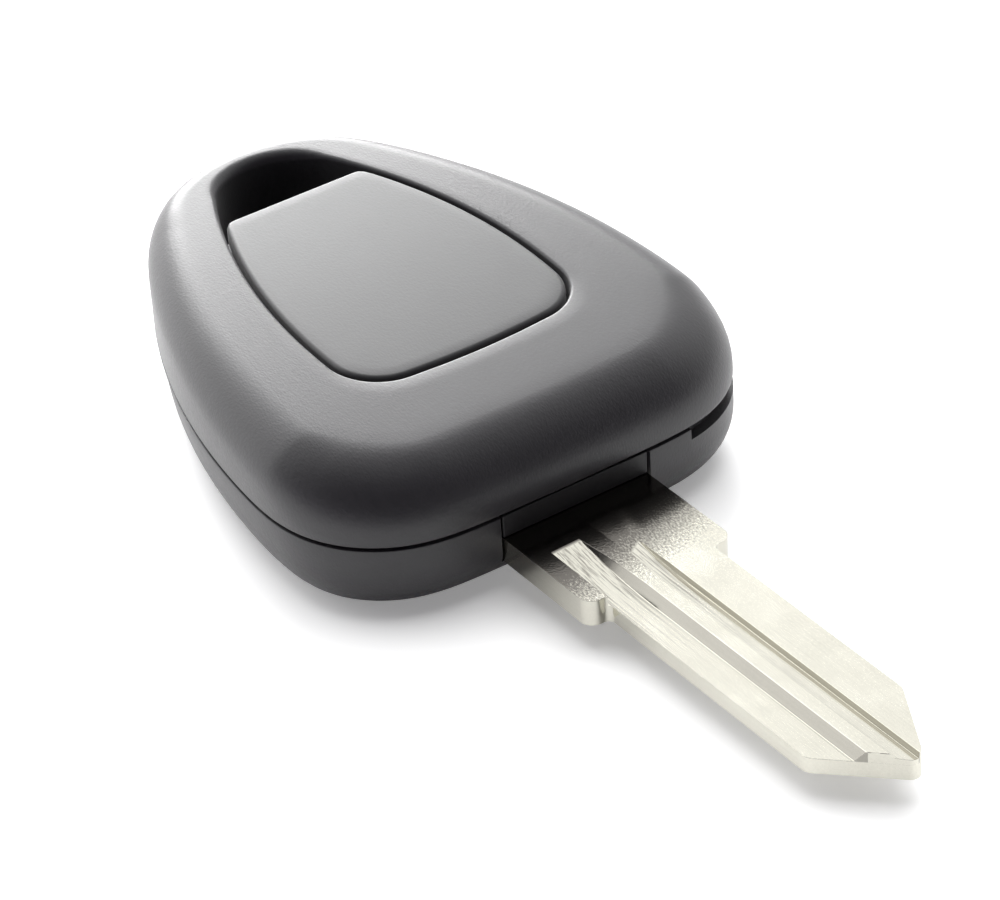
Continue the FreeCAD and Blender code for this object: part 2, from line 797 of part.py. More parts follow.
def coil_x():
    return chip_place()[0] - chip_length / 2 + coil_radius


def wound_coil():
    """Small drum coil between the coding chip and the resonator."""
    x = coil_x()
    y = coil_offset
    low = rod(x, y, board_top_z, board_top_z + coil_flange, coil_radius)
    core = rod(x, y, board_top_z, board_top_z + coil_height, coil_core_radius)
    high = rod(x, y, board_top_z + coil_height - coil_flange, board_top_z + coil_height, coil_radius)
    return low.fuse([core, high]).removeSplitter()


def transistor():
    """Three-legged amplifier ahead of the coil."""
    half_length = transistor_length / 2
    half_width = transistor_width / 2
    x = coil_x() + coil_radius + transistor_gap + transistor_pin_reach + half_width
    y = coil_offset
    body = block(x - half_width, x + half_width, y - half_length, y + half_length,
                 board_top_z + chip_pin_thickness / 2, board_top_z + transistor_height)
    legs = []
    for leg_y, direction in ((y - half_length / 2, 1), (y + half_length / 2, 1), (y, -1)):
        low, high = sorted((x, x + direction * (half_width + transistor_pin_reach)))
        legs.append(block(low, high, leg_y - chip_pin_width / 2, leg_y + chip_pin_width / 2,
                          board_top_z, board_top_z + chip_pin_thickness))
    return body.fuse(legs).removeSplitter()


def passive(x, y, height):
    """Small two-ended part soldered flat on the board."""
    half_length = passive_length / 2
    half_width = passive_width / 2
    return block(x - half_length, x + half_length, y - half_width, y + half_width, board_top_z, board_top_z + height)


def passive_row(side, count, height):
    """Row of small parts beside the switch, between it and the antenna loop."""
    y = side * (boot_inner_radius + boot_wall + passive_margin + passive_width / 2)
    start = switch_x - passive_pitch * (count - 1) / 2
    return Part.makeCompound([passive(start + passive_pitch * number, y, height) for number in range(count)])


def antenna_loop():
    """Stamped copper loop standing on the board, open towards the key ring."""
    outer = prism(shrink(HEAD, antenna_inset), board_top_z, board_top_z + antenna_height)
    inner = prism(shrink(HEAD, antenna_inset + antenna_width), board_top_z, board_top_z + antenna_height)
    ahead = block(cross_wall_x + board_rear_gap + antenna_gap, front_x, -head_half_width, head_half_width,
                  board_top_z, crown_z)
    return outer.cut(inner).common(ahead)


def coin_cell():
    can = rod(cell_x, 0.0, cell_bottom_z, cell_top_z - contact_thickness, cell_radius)
    can = can.makeFillet(contact_thickness, level_edges(can, cell_bottom_z))
    lid = rod(cell_x, 0.0, cell_bottom_z, cell_top_z, cell_radius - cell_rim)
    return can.fuse(lid).removeSplitter()


def negative_contact():
    """Dished disc under the board that presses on the cell's lid."""
    z0 = board_z - contact_thickness
    low = z0 - contact_dish
    points = [
        V(0, 0, low), V(contact_dish_radius / 2, 0, low), V(contact_dish_radius, 0, z0), V(contact_radius, 0, z0),
        V(contact_radius, 0, board_z), V(contact_dish_radius, 0, board_z),
        V(contact_dish_radius / 2, 0, low + contact_thickness), V(0, 0, low + contact_thickness),
    ]
    outline = Part.makePolygon([p + V(cell_x, 0, 0) for p in points + points[:1]])
    return Part.Face(outline).revolve(V(cell_x, 0, 0), V(0, 0, 1), 360)


def positive_clip():
    """Bent strap that holds the cell up against the board."""
    half = clip_width / 2
    side = cell_radius + clip_side_gap
    x0 = cell_x - half
    x1 = cell_x + half
    base = block(x0, x1, -side - clip_thickness, side + clip_thickness, clip_bottom_z, clip_top_z)
    leg = block(x0, x1, side, side + clip_thickness, clip_bottom_z, board_z)
    foot = block(x0, x1, side, side + clip_thickness + clip_foot, board_z - clip_thickness, board_z)
    return base.fuse(both_sides(leg) + both_sides(foot)).removeSplitter()


def cell_pad():
    """Foam disc between the floor and the cell's strap."""
    return rod(cell_x, 0.0, floor_z + pad_gap, clip_bottom_z - pad_gap, pad_radius)


def transponder_capsule():
    tube = capsule_form(capsule_radius, 0.0)
    ends = [e for e in tube.Edges if abs(e.BoundBox.XLength) < 0.001]
    return tube.makeFillet(capsule_radius / 2, ends)


NODES = {
    "upper_shell": upper_shell,
    "lower_shell": lower_shell,
    "push_button": push_button,
    "key_blade": key_blade,
    "blade_clamp": blade_clamp,
    "clamp_screws": clamp_screws,
    "circuit_board": circuit_board,
    "switch_housing": switch_housing,
    "switch_frame": switch_frame,
    "switch_plunger": switch_plunger,
    "switch_dome": switch_dome,
    "switch_boot": switch_boot,
    "controller_chip": controller_chip,
    "radio_resonator": radio_resonator,
    "wound_coil": wound_coil,
    "transistor": transistor,
    "chip_resistors": lambda: passive_row(1, resistor_count, passive_height),
    "chip_capacitors": lambda: passive_row(-1, capacitor_count, passive_width),
    "antenna_loop": antenna_loop,
    "coin_cell": coin_cell,
    "negative_contact": negative_contact,
    "positive_clip": positive_clip,
    "cell_pad": cell_pad,
    "transponder_capsule": transponder_capsule,
}

for node, make in NODES.items():
    shape = make()
    shape.exportStep(os.path.join("parts", node + ".step"))
    print("%-20s %2d solids %8.1f mm3 valid %s" % (node, len(shape.Solids), shape.Volume, shape.isValid()))
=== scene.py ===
import math

import bpy
import bmesh
import numpy as np
from mathutils import Matrix, Vector


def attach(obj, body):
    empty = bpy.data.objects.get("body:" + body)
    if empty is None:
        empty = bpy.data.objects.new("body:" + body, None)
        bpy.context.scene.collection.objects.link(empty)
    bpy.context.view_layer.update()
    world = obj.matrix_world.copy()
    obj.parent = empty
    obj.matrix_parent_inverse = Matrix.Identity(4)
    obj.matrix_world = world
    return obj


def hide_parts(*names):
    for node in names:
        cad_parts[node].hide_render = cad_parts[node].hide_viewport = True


MM = 0.001

# Sizes in millimetres, and places in the frame of the solids, which have the same ones
FRONT_X = 4.325
REAR_X = FRONT_X - 43.3
PARTING_Z = 6.0
LOWER_RIM_Z = 5.875
UPPER_RIM_Z = 6.125
CROWN_RADIUS = 420.0
CROWN_X = FRONT_X - 42.5
CROWN_Z = 12.92
SHELL_WALL = 1.6
UPPER_ROUND = 4.2
LOWER_ROUND = 3.7
TONGUE_INSET = 0.85
TONGUE_TOP_Z = 7.0
REBATE_INSET = 0.75
REBATE_TOP_Z = 7.1
RIM_EDGE = 0.1
OPENING_ROLL = 0.26
HOLE_REAR_X = REAR_X + 3.4
HOLE_FRONT_X = HOLE_REAR_X + 5.8
CROSS_WALL_X = HOLE_FRONT_X + 2.0
WELL_FRONT_X = FRONT_X - 10.5
HOLE_WALL = 1.6
HOLE_ROUND = 0.6
HOLE_CEILING_Z = REBATE_TOP_Z + 0.4
LOWER_DRAFT = 0.35
BUTTON_GAP = 0.3
BUTTON_REAR_X = HOLE_FRONT_X + 0.05
BUTTON_WALL_GAP = 0.15
BUTTON_CUT_ROUNDING = 1.4
BUTTON_PLATE = 1.3
BUTTON_EDGE = 0.35
BUTTON_FLANGE = 0.8
BUTTON_POST = 2.2
BUTTON_POST_Z = 10.45
FLANGE_DEPTH = 1.65
SKIRT_DEPTH = 2.35
SWITCH_X = (WELL_FRONT_X + HOLE_FRONT_X) / 2
SLOT_HALF = 6.1
SLOT_CHAMFER = 0.47
SLOT_Z = 2.09
NOTCH_Z = 5.025
NOTCH_REAR_X = FRONT_X - 6.6
NOTCH_Y = 9.9
BLADE_TOP_Z = 4.14
BOARD_LOW_Z, BOARD_TOP_Z = 6.0, 7.0
BOARD_POST, BOARD_PIN = 1.2, 0.5
POST_FRONT_X, POST_REAR_X = FRONT_X - 22.0, CROSS_WALL_X + 1.8
POST_INSET = 3.7
SEAT_GAP = 0.05
WALL_FRONT_HALF, WALL_REAR_HALF = 7.2, 6.6
WALL_DROP = 1.95
BED_REAR_X = FRONT_X - 10.5
BED_HALF = 6.0
BED_PIN = (FRONT_X - 7.2, 2.2)
PIN_RADIUS, PIN_TOP_Z = 1.0, 4.975
BOSS = (FRONT_X - 6.6, 6.8)
BOSS_RADIUS, BOSS_BORE = 1.9, 0.85
CRADLE_X = (FRONT_X - 18.9, FRONT_X - 5.1)
CRADLE_Y = (9.2, 14.0)
CRADLE_WALL = 0.8
CRADLE_TOP_Z = 3.5
BITE = 0.1
BEYOND = 2.0
NO_CUT = -1000.0
BLADE_BREAK, CLAMP_BREAK = 0.07, 0.08
TABLE_HALF, TABLE_DROP = 3000.0, 0.02

# Milled grooves of the blade: depth, middle and half width, then the middle and half width of two walls
GROOVE_DEPTH, GROOVE_MIDDLE, GROOVE_HALF = 0.82, -1.67, 2.62
GROOVE_WALLS = ((-1.84, 0.29), (0.93, 0.075))

# Small parts on the board, for finishes that tell their places apart
CHIP_Y, CHIP_HALF = -4.85, 2.01
TRANSISTOR_X, TRANSISTOR_HALF = FRONT_X - 11.405, 0.66
BETWEEN_Y = -1.5
ROW_PITCH, ROW_HALF = 2.6, 0.5
LID_Z = 7.52
WINDING_Z = (7.36, 8.14)
TURN_PITCH = 0.13
PLUG_X = (-4.6, -4.2)

# Where the edges' rounds change along the outline, by the angle of its normal in degrees
CORNER_TURN, CORNER_SPREAD = 42.0, 40.0
BEHIND_TURNS = (65.0, 115.0)
REAR_TURNS = (105.0, 150.0)
DRAFT_TURNS = (60.0, 100.0)

# By how many millimetres the rounds grow at the front corners and shrink behind them and at the rear
CORNER_IN, CORNER_DOWN = 0.7, 0.3
BEHIND_LESS = 1.0
REAR_LESS = 0.9
REAR_ROLL = 0.5

# Angles in degrees that count as a sharp edge, and steps on each arc of half an outline
MOULDED_SHARP, REFINED_SHARP = 33.0, 9.0
HEAD_STEPS = (14, 36, 44, 38)
BUTTON_STEPS = (14, 30, 26, 30)

# Length over which the outline's arcs blend, and the inset that keeps the blend inside the solids' box
BLEND, INSIDE = 2.6, 0.004

SIZES = ("Front X", "Rear X", "Half Width", "Front Radius", "Corner Radius", "Side Radius", "Rear Radius")
HEAD = dict(zip(SIZES, (FRONT_X, REAR_X, 18.3, 175.0, 9.3, 58.0, 12.4)))
OPENING = dict(zip(SIZES, (WELL_FRONT_X, HOLE_REAR_X, 9.7, 60.0, 4.2, 44.0, 5.3)))
RING_HOLE = dict(zip(SIZES, (HOLE_FRONT_X, HOLE_REAR_X, 9.7, 400.0, 0.35, 44.0, 5.3)))


class Wire:
    """A socket of a node tree that works in plain arithmetic; every other node comes from make."""

    def __init__(self, tree, socket=None):
        self.tree = tree
        self.socket = socket

    def make(self, kind, settings=None, inputs=None, output=0):
        node = self.tree.nodes.new(kind)
        for name, value in (settings or {}).items():
            setattr(node, name, value)
        for name, value in (inputs or {}).items():
            if isinstance(value, Wire):
                self.tree.links.new(value.socket, node.inputs[name])
            else:
                node.inputs[name].default_value = value
        return Wire(self.tree, node.outputs[output] if len(node.outputs) else None)

    def maths(self, operation, *values):
        return self.make("ShaderNodeMath", {"operation": operation}, dict(enumerate(values)))

    def __add__(self, other): return self.maths("ADD", self, other)
    def __radd__(self, other): return self.maths("ADD", other, self)
    def __sub__(self, other): return self.maths("SUBTRACT", self, other)
    def __rsub__(self, other): return self.maths("SUBTRACT", other, self)
    def __mul__(self, other): return self.maths("MULTIPLY", self, other)
    def __rmul__(self, other): return self.maths("MULTIPLY", other, self)
    def __truediv__(self, other): return self.maths("DIVIDE", self, other)
    def __pow__(self, other): return self.maths("POWER", self, other)
    def __abs__(self): return self.maths("ABSOLUTE", self)
    def __gt__(self, other): return self.maths("GREATER_THAN", self, other)
    def __lt__(self, other): return self.maths("LESS_THAN", self, other)

    def ramp(self, low, high, to_low=0.0, to_high=1.0):
        """Straight ramp from one range to another, held at its ends."""
        return self.make("ShaderNodeMapRange", {"clamp": True},
                         {0: self, 1: low, 2: high, 3: to_low, 4: to_high})

    def axes(self):
        """The three parts of a vector."""
        parts = self.make("ShaderNodeSeparateXYZ", {}, {0: self})
        return [Wire(self.tree, socket) for socket in parts.socket.node.outputs]


# Plan outlines: half a teardrop is five arcs, found by the angle of the outline's normal

def arcs(outline):
    """Centre x, centre y, radius and last angle of the front, corner, side and rear arcs."""
    front_x, rear_x, half_width, front_r, corner_r, side_r, rear_r = (outline[name] for name in SIZES)
    front_c = np.array([front_x - front_r, 0.0])
    rear_c = np.array([rear_x + rear_r, 0.0])
    drop = side_r - half_width
    side_c = np.array([rear_c[0] + math.sqrt((side_r - rear_r) ** 2 - drop ** 2), -drop])
    far, near = front_r - corner_r, side_r - corner_r
    line = side_c - front_c
    span = float(np.hypot(*line))
    along = (far ** 2 - near ** 2 + span ** 2) / (2 * span)
    across = math.sqrt(far ** 2 - along ** 2)
    line = line / span
    corner_c = front_c + line * along + np.array([-line[1], line[0]]) * across
    to_corner = corner_c - front_c
    to_side = corner_c - side_c
    to_rear = rear_c - side_c
    return [(front_c, front_r, math.atan2(to_corner[1], to_corner[0])),
            (corner_c, corner_r, math.atan2(to_side[1], to_side[0])),
            (side_c, side_r, math.atan2(to_rear[1], to_rear[0])),
            (rear_c, rear_r, math.pi)]


def outline_point(outline, angle, inset=0.0):
    """Point of an outline, moved inwards, where its normal has an angle."""
    for centre, radius, last in arcs(outline):
        if abs(angle) <= last + 1e-9:
            x = centre[0] + (radius - inset) * math.cos(angle)
            y = centre[1] + (radius - inset) * math.sin(abs(angle))
            return x, math.copysign(y, angle)
    raise ValueError("angle past half a turn")


def crown_at(x):
    """Height of the crowned top at a place along the head."""
    return CROWN_Z - CROWN_RADIUS + math.sqrt(CROWN_RADIUS ** 2 - (x - CROWN_X) ** 2)


def spread_angles(outline, counts):
    """Angles all round, with a number of steps on each arc of the half outline."""
    half = [0.0]
    for (_, _, last), count in zip(arcs(outline), counts):
        first = half[-1]
        half += [first + (last - first) * step / count for step in range(1, count + 1)]
    return np.array(half + [-angle for angle in half[-2:0:-1]])


def eased_insets(outline, angles, reach):
    """Small insets that blend the outline's arcs into each other over a length of it."""
    turns = np.linspace(-math.pi, math.pi, 7201)
    points = np.array([outline_point(outline, turn) for turn in turns])
    along = np.concatenate(([0.0], np.cumsum(np.hypot(*np.diff(points, axis=0).T))))
    even = np.linspace(0.0, along[-1], 2048, endpoint=False)
    curve = np.interp(even, along, points[:, 0]) + 1j * np.interp(even, along, points[:, 1])
    waves = 2 * math.pi * np.fft.fftfreq(len(even), along[-1] / len(even))
    kept = np.exp(-(waves * reach) ** 2 / 2)
    smooth = np.fft.ifft(np.fft.fft(curve) * kept * (2.0 - kept))
    # Half a turn is where the outline starts, so an angle's place along it has no break in between.
    places = np.interp(np.where(angles > math.pi - 1e-6, -math.pi, angles), turns, along)
    moved_x, moved_y = (np.interp(places, even, values, period=along[-1])
                        for values in (smooth.real, smooth.imag))
    start = np.array([outline_point(outline, angle) for angle in angles])
    return (start[:, 0] - moved_x) * np.cos(angles) + (start[:, 1] - moved_y) * np.sin(angles)


# Moulded forms: a sheet of angles and stations, bent round the outlines by Geometry Nodes

def teardrop_group():
    """Node group that gives the outline's point for an angle and an inset."""
    tree = bpy.data.node_groups.new("Teardrop Point", "GeometryNodeTree")
    for name in ("Angle", "Inset") + SIZES:
        tree.interface.new_socket(name, in_out="INPUT", socket_type="NodeSocketFloat")
    for name in ("X", "Y"):
        tree.interface.new_socket(name, in_out="OUTPUT", socket_type="NodeSocketFloat")
    entry = tree.nodes.new("NodeGroupInput")
    given = {socket.name: Wire(tree, socket) for socket in entry.outputs if socket.name}
    angle, inset = abs(given["Angle"]), given["Inset"]
    side = given["Angle"].maths("SIGN", given["Angle"])
    front_r, corner_r = given["Front Radius"], given["Corner Radius"]
    side_r, rear_r = given["Side Radius"], given["Rear Radius"]
    front_x = given["Front X"] - front_r
    rear_x = given["Rear X"] + rear_r
    drop = side_r - given["Half Width"]
    side_x = rear_x + ((side_r - rear_r) ** 2 - drop ** 2) ** 0.5
    far, near = front_r - corner_r, side_r - corner_r
    line_x, line_y = side_x - front_x, 0 - drop
    span = (line_x ** 2 + drop ** 2) ** 0.5
    along = (far ** 2 - near ** 2 + span ** 2) / (span * 2)
    across = (far ** 2 - along ** 2) ** 0.5
    corner_x = front_x + (line_x * along - line_y * across) / span
    corner_y = (line_y * along + line_x * across) / span
    front_end = angle.maths("ARCTAN2", corner_y, corner_x - front_x)
    corner_end = angle.maths("ARCTAN2", corner_y + drop, corner_x - side_x)
    side_end = angle.maths("ARCTAN2", drop, rear_x - side_x)
    past_front, past_corner, past_side = angle > front_end, angle > corner_end, angle > side_end

    def chosen(front, corner, side_value, rear):
        return (front + past_front * (corner - front) + past_corner * (side_value - corner)
                + past_side * (rear - side_value))

    radius = chosen(front_r, corner_r, side_r, rear_r) - inset
    x = chosen(front_x, corner_x, side_x, rear_x) + radius * angle.maths("COSINE", angle)
    y = (chosen(front_r * 0, corner_y, 0 - drop, rear_r * 0) + radius * angle.maths("SINE", angle)) * side
    angle.make("NodeGroupOutput", {}, {"X": x, "Y": y})
    return tree


def moulded_tree():
    """Tree that bends a sheet of angles and stations into a moulded, crowned form."""
    tree = bpy.data.node_groups.new("Moulded Form", "GeometryNodeTree")
    face = tree.interface
    face.new_socket("Sheet", in_out="INPUT", socket_type="NodeSocketGeometry")
    face.new_socket("Form", in_out="OUTPUT", socket_type="NodeSocketGeometry")
    for prefix in ("Outer ", "Inner "):
        for name in SIZES:
            face.new_socket(prefix + name, in_out="INPUT", socket_type="NodeSocketFloat")
    for name in ("Crown Radius", "Crown X", "Crown Z", "Rear Cut", "Cut Rounding", "Middle X", "Unit",
                 "Sharp Angle"):
        face.new_socket(name, in_out="INPUT", socket_type="NodeSocketFloat")
    face.new_socket("Finish", in_out="INPUT", socket_type="NodeSocketMaterial")
    entry = tree.nodes.new("NodeGroupInput")
    given = {socket.name: Wire(tree, socket) for socket in entry.outputs if socket.name}
    base = given["Unit"]

    def stored(name):
        return base.make("GeometryNodeInputNamedAttribute", {"data_type": "FLOAT"}, {"Name": name})

    group = teardrop_group()
    angle = base.make("GeometryNodeInputPosition").axes()[0]

    def point(prefix, inset):
        inputs = {name: given[prefix + name] for name in SIZES}
        inputs.update({"Angle": angle, "Inset": inset})
        x = base.make("GeometryNodeGroup", {"node_tree": group}, inputs)
        return x, Wire(tree, x.socket.node.outputs["Y"])

    outer_x, outer_y = point("Outer ", stored("inset_outer"))
    inner_x, inner_y = point("Inner ", stored("inset_inner"))
    share, gather, radius = stored("share"), stored("gather"), stored("radius")
    x = outer_x + (inner_x - outer_x) * share
    y = outer_y + (inner_y - outer_y) * share
    cut = given["Rear Cut"] + stored("ahead")
    x = base.maths("SMOOTH_MAX", x, cut, given["Cut Rounding"])
    x = x + (given["Middle X"] + radius * base.maths("COSINE", angle) - x) * gather
    y = y + (radius * base.maths("SINE", angle) - y) * gather
    reach = given["Crown Radius"] ** 2 - (x - given["Crown X"]) ** 2
    crown = given["Crown Z"] - given["Crown Radius"] + reach ** 0.5
    z = stored("level") + stored("crown") * crown
    unit = given["Unit"]
    place = base.make("ShaderNodeCombineXYZ", {}, {0: x * unit, 1: y * unit, 2: z * unit})
    form = base.make("GeometryNodeSetPosition", {}, {"Geometry": given["Sheet"], "Position": place})
    form = base.make("GeometryNodeMergeByDistance", {}, {"Geometry": form, "Distance": 2e-7})
    form = base.make("GeometryNodeSetShadeSmooth", {"domain": "FACE"},
                     {"Geometry": form, "Shade Smooth": True})
    sharp = base.make("GeometryNodeInputMeshEdgeAngle") > given["Sharp Angle"]
    form = base.make("GeometryNodeSetShadeSmooth", {"domain": "EDGE"},
                     {"Geometry": form, "Selection": sharp, "Shade Smooth": False})
    form = base.make("GeometryNodeRealizeInstances", {}, {"Geometry": form})
    form = base.make("GeometryNodeSetMaterial", {}, {"Geometry": form, "Material": given["Finish"]})
    base.make("NodeGroupOutput", {}, {"Form": form})
    return tree


FIELDS = ("inset_outer", "inset_inner", "share", "level", "crown", "gather", "radius", "ahead")


def station(**values):
    """One line of a moulded form's section; what isn't given is zero."""
    unknown = set(values) - set(FIELDS)
    if unknown:
        raise ValueError("unknown station value %s" % unknown)
    return values


def sheet_object(name, angles, stations, closed, ease=0.0):
    """Flat sheet with one column for each angle and one row for each station."""
    columns, rows = len(angles), len(stations)
    place = np.zeros((rows, columns, 3))
    place[:, :, 0] = angles[None, :]
    place[:, :, 1] = np.arange(rows)[:, None] * 0.01
    i, j = np.meshgrid(np.arange(columns), np.arange(rows if closed else rows - 1))
    right, up = (i + 1) % columns, (j + 1) % rows
    faces = np.stack([j * columns + i, j * columns + right, up * columns + right, up * columns + i], axis=-1)
    mesh = bpy.data.meshes.new(name)
    mesh.from_pydata(place.reshape(-1, 3).tolist(), [], faces.reshape(-1, 4).tolist())
    for field in FIELDS:
        values = np.array([np.broadcast_to(line.get(field, 0.0), (columns,)) for line in stations])
        if field == "inset_outer":
            values = values + ease
        stored = mesh.attributes.new(field, "FLOAT", "POINT")
        stored.data.foreach_set("value", values.reshape(-1).astype(np.float32))
    sheet = bpy.data.objects.new(name, mesh)
    bpy.context.collection.objects.link(sheet)
    return sheet


def moulded(name, tree, sheet, inner, finish, rear_cut=NO_CUT, cut_rounding=0.0):
    """Bend a sheet by the tree and keep the result as a plain mesh."""
    modifier = sheet.modifiers.new("Form", "NODES")
    modifier.node_group = tree
    values = {"Outer " + key: value for key, value in HEAD.items()}
    values.update({"Inner " + key: value for key, value in inner.items()})
    values.update({"Crown Radius": CROWN_RADIUS, "Crown X": CROWN_X, "Crown Z": CROWN_Z, "Rear Cut": rear_cut,
                   "Cut Rounding": cut_rounding, "Middle X": SWITCH_X, "Unit": MM,
                   "Sharp Angle": math.radians(MOULDED_SHARP), "Finish": finish})
    for socket in tree.interface.items_tree:
        if socket.in_out == "INPUT" and socket.name in values:
            modifier[socket.identifier] = values[socket.name]
    return plain(sheet, name, outwards=True)


def plain(thing, name, outwards=False):
    """Replace an object by the plain mesh that its modifiers make."""
    bpy.context.view_layer.update()
    evaluated = thing.evaluated_get(bpy.context.evaluated_depsgraph_get())
    mesh = bpy.data.meshes.new_from_object(evaluated)
    bpy.data.objects.remove(thing, do_unlink=True)
    mesh.name = name
    if outwards:
        mend = bmesh.new()
        mend.from_mesh(mesh)
        bmesh.ops.recalc_face_normals(mend, faces=mend.faces)
        mend.to_mesh(mesh)
        mend.free()
    for field in FIELDS:
        if field in mesh.attributes:
            mesh.attributes.remove(mesh.attributes[field])
    made = bpy.data.objects.new(name, mesh)
    bpy.context.collection.objects.link(made)
    return made


def quarter(count):
    """Angles of a quarter turn, both ends included."""
    return [math.pi / 2 * step / count for step in range(count + 1)]


def eased(turns, first, last):
    """Smooth rise from 0 to 1 between two angles."""
    return 0.5 - 0.5 * np.cos(np.pi * np.clip((turns - first) / (last - first), 0.0, 1.0))


def upper_stations(angles):
    """Section of the upper shell: wall, round, crown, opening, ceiling, wall, rebate."""
    turns = np.degrees(np.abs(angles))
    behind = eased(turns, *BEHIND_TURNS)
    rear = eased(turns, *REAR_TURNS)
    corner = np.exp(-((turns - CORNER_TURN) / CORNER_SPREAD) ** 2)
    round_in = UPPER_ROUND + CORNER_IN * corner - BEHIND_LESS * behind - REAR_LESS * rear
    round_down = UPPER_ROUND + CORNER_DOWN * corner - BEHIND_LESS * behind
    at_hole = np.array([outline_point(OPENING, angle)[0] < CROSS_WALL_X for angle in angles]) * 1.0
    crown = np.array([crown_at(outline_point(OPENING, angle)[0]) for angle in angles])
    roll = OPENING_ROLL + REAR_ROLL * rear
    ceiling_down = at_hole * (HOLE_CEILING_Z - crown) + (1 - at_hole) * -SHELL_WALL
    inner_round = UPPER_ROUND - SHELL_WALL
    lines = [station(inset_outer=RIM_EDGE, level=UPPER_RIM_Z),
             station(inset_outer=RIM_EDGE * 0.3, level=UPPER_RIM_Z + RIM_EDGE * 0.3),
             station(level=UPPER_RIM_Z + RIM_EDGE)]
    lines += [station(inset_outer=round_in * (1 - math.cos(turn)), level=-round_down * (1 - math.sin(turn)),
                      crown=1.0) for turn in quarter(14)]
    lines += [station(inset_outer=round_in, inset_inner=-roll, share=share, crown=1.0)
              for share in (0.2, 0.4, 0.6, 0.8)]
    lines += [station(inset_inner=-roll * (1 - math.sin(turn)), share=1.0, level=-roll * (1 - math.cos(turn)),
                      crown=1.0) for turn in quarter(5)]
    lines += [station(share=1.0, level=ceiling_down * part, crown=1.0) for part in (0.5, 1.0)]
    lines += [station(inset_outer=SHELL_WALL + inner_round, share=share, level=ceiling_down, crown=1.0)
              for share in (0.66, 0.33)]
    lines += [station(inset_outer=SHELL_WALL + inner_round * (1 - math.cos(turn)), crown=1.0,
                      level=(1 - at_hole) * (-SHELL_WALL - inner_round * (1 - math.sin(turn)))
                      + at_hole * ceiling_down) for turn in reversed(quarter(5))]
    lines += [station(inset_outer=SHELL_WALL, level=REBATE_TOP_Z),
              station(inset_outer=REBATE_INSET, level=REBATE_TOP_Z),
              station(inset_outer=REBATE_INSET, level=UPPER_RIM_Z)]
    return lines


def lower_stations(angles):
    """Section of the lower shell: wall, round, underside, ring hole, floor, wall, tongue."""
    first, last = DRAFT_TURNS
    draft = LOWER_DRAFT * np.clip((np.degrees(np.abs(angles)) - first) / (last - first), 0.0, 1.0)
    inner_round = LOWER_ROUND - SHELL_WALL
    lines = [station(inset_outer=RIM_EDGE, level=LOWER_RIM_Z),
             station(inset_outer=RIM_EDGE * 0.3, level=LOWER_RIM_Z - RIM_EDGE * 0.3),
             station(level=LOWER_RIM_Z - RIM_EDGE)]
    lines += [station(inset_outer=(LOWER_ROUND - draft) * (1 - math.cos(turn)) + draft,
                      level=LOWER_ROUND * (1 - math.sin(turn))) for turn in quarter(14)]
    lines += [station(inset_outer=LOWER_ROUND, inset_inner=-HOLE_ROUND, share=share)
              for share in (0.33, 0.66)]
    lines += [station(inset_inner=-HOLE_ROUND * (1 - math.sin(turn)), share=1.0,
                      level=HOLE_ROUND * (1 - math.cos(turn))) for turn in quarter(5)]
    lines += [station(share=1.0, level=LOWER_RIM_Z),
              station(share=1.0, inset_inner=-HOLE_WALL, level=LOWER_RIM_Z),
              station(share=1.0, inset_inner=-HOLE_WALL, level=SHELL_WALL)]
    lines += [station(inset_outer=SHELL_WALL + inner_round, inset_inner=-HOLE_WALL, share=share,
                      level=SHELL_WALL) for share in (0.66, 0.33)]
    lines += [station(inset_outer=SHELL_WALL + inner_round * (1 - math.cos(turn)),
                      level=SHELL_WALL + inner_round * (1 - math.sin(turn))) for turn in reversed(quarter(5))]
    lines += [station(inset_outer=SHELL_WALL, level=TONGUE_TOP_Z),
              station(inset_outer=TONGUE_INSET, level=TONGUE_TOP_Z),
              station(inset_outer=TONGUE_INSET, level=LOWER_RIM_Z)]
    return lines


def button_stations():
    """Section of the button: crowned top, rounded edge, skirt, flange, underside and post."""
    edge = BUTTON_EDGE
    skirt = BUTTON_GAP + BUTTON_FLANGE
    ahead = CROSS_WALL_X + BUTTON_WALL_GAP - BUTTON_REAR_X
    inside = ahead + BUTTON_FLANGE
    reach = {"share": 1.0, "crown": 1.0}
    post = {"share": 1.0, "gather": 1.0, "inset_inner": skirt}
    lines = [station(inset_inner=BUTTON_GAP + edge, gather=part, ahead=edge, **reach)
             for part in (1.0, 0.93, 0.8, 0.6, 0.4, 0.2, 0.08)]
    lines += [station(inset_inner=BUTTON_GAP + edge * (1 - math.sin(turn)), ahead=edge * (1 - math.sin(turn)),
                      level=-edge * (1 - math.cos(turn)), **reach) for turn in quarter(6)]
    lines += [station(inset_inner=BUTTON_GAP, level=-BUTTON_PLATE, **reach),
              station(inset_inner=BUTTON_GAP, level=-BUTTON_PLATE, ahead=ahead, **reach),
              station(inset_inner=BUTTON_GAP, level=-FLANGE_DEPTH, ahead=ahead, **reach),
              station(inset_inner=-BUTTON_FLANGE, level=-FLANGE_DEPTH, ahead=ahead, **reach),
              station(inset_inner=-BUTTON_FLANGE, level=-SKIRT_DEPTH, ahead=ahead, **reach),
              station(inset_inner=skirt, level=-SKIRT_DEPTH, ahead=inside, **reach),
              station(inset_inner=skirt, level=-BUTTON_PLATE, ahead=inside, **reach)]
    lines += [station(crown=1.0, level=-BUTTON_PLATE, ahead=inside, radius=BUTTON_POST, **post),
              station(radius=BUTTON_POST, level=BUTTON_POST_Z, **post),
              station(radius=0.0, level=BUTTON_POST_Z, **post)]
    return lines


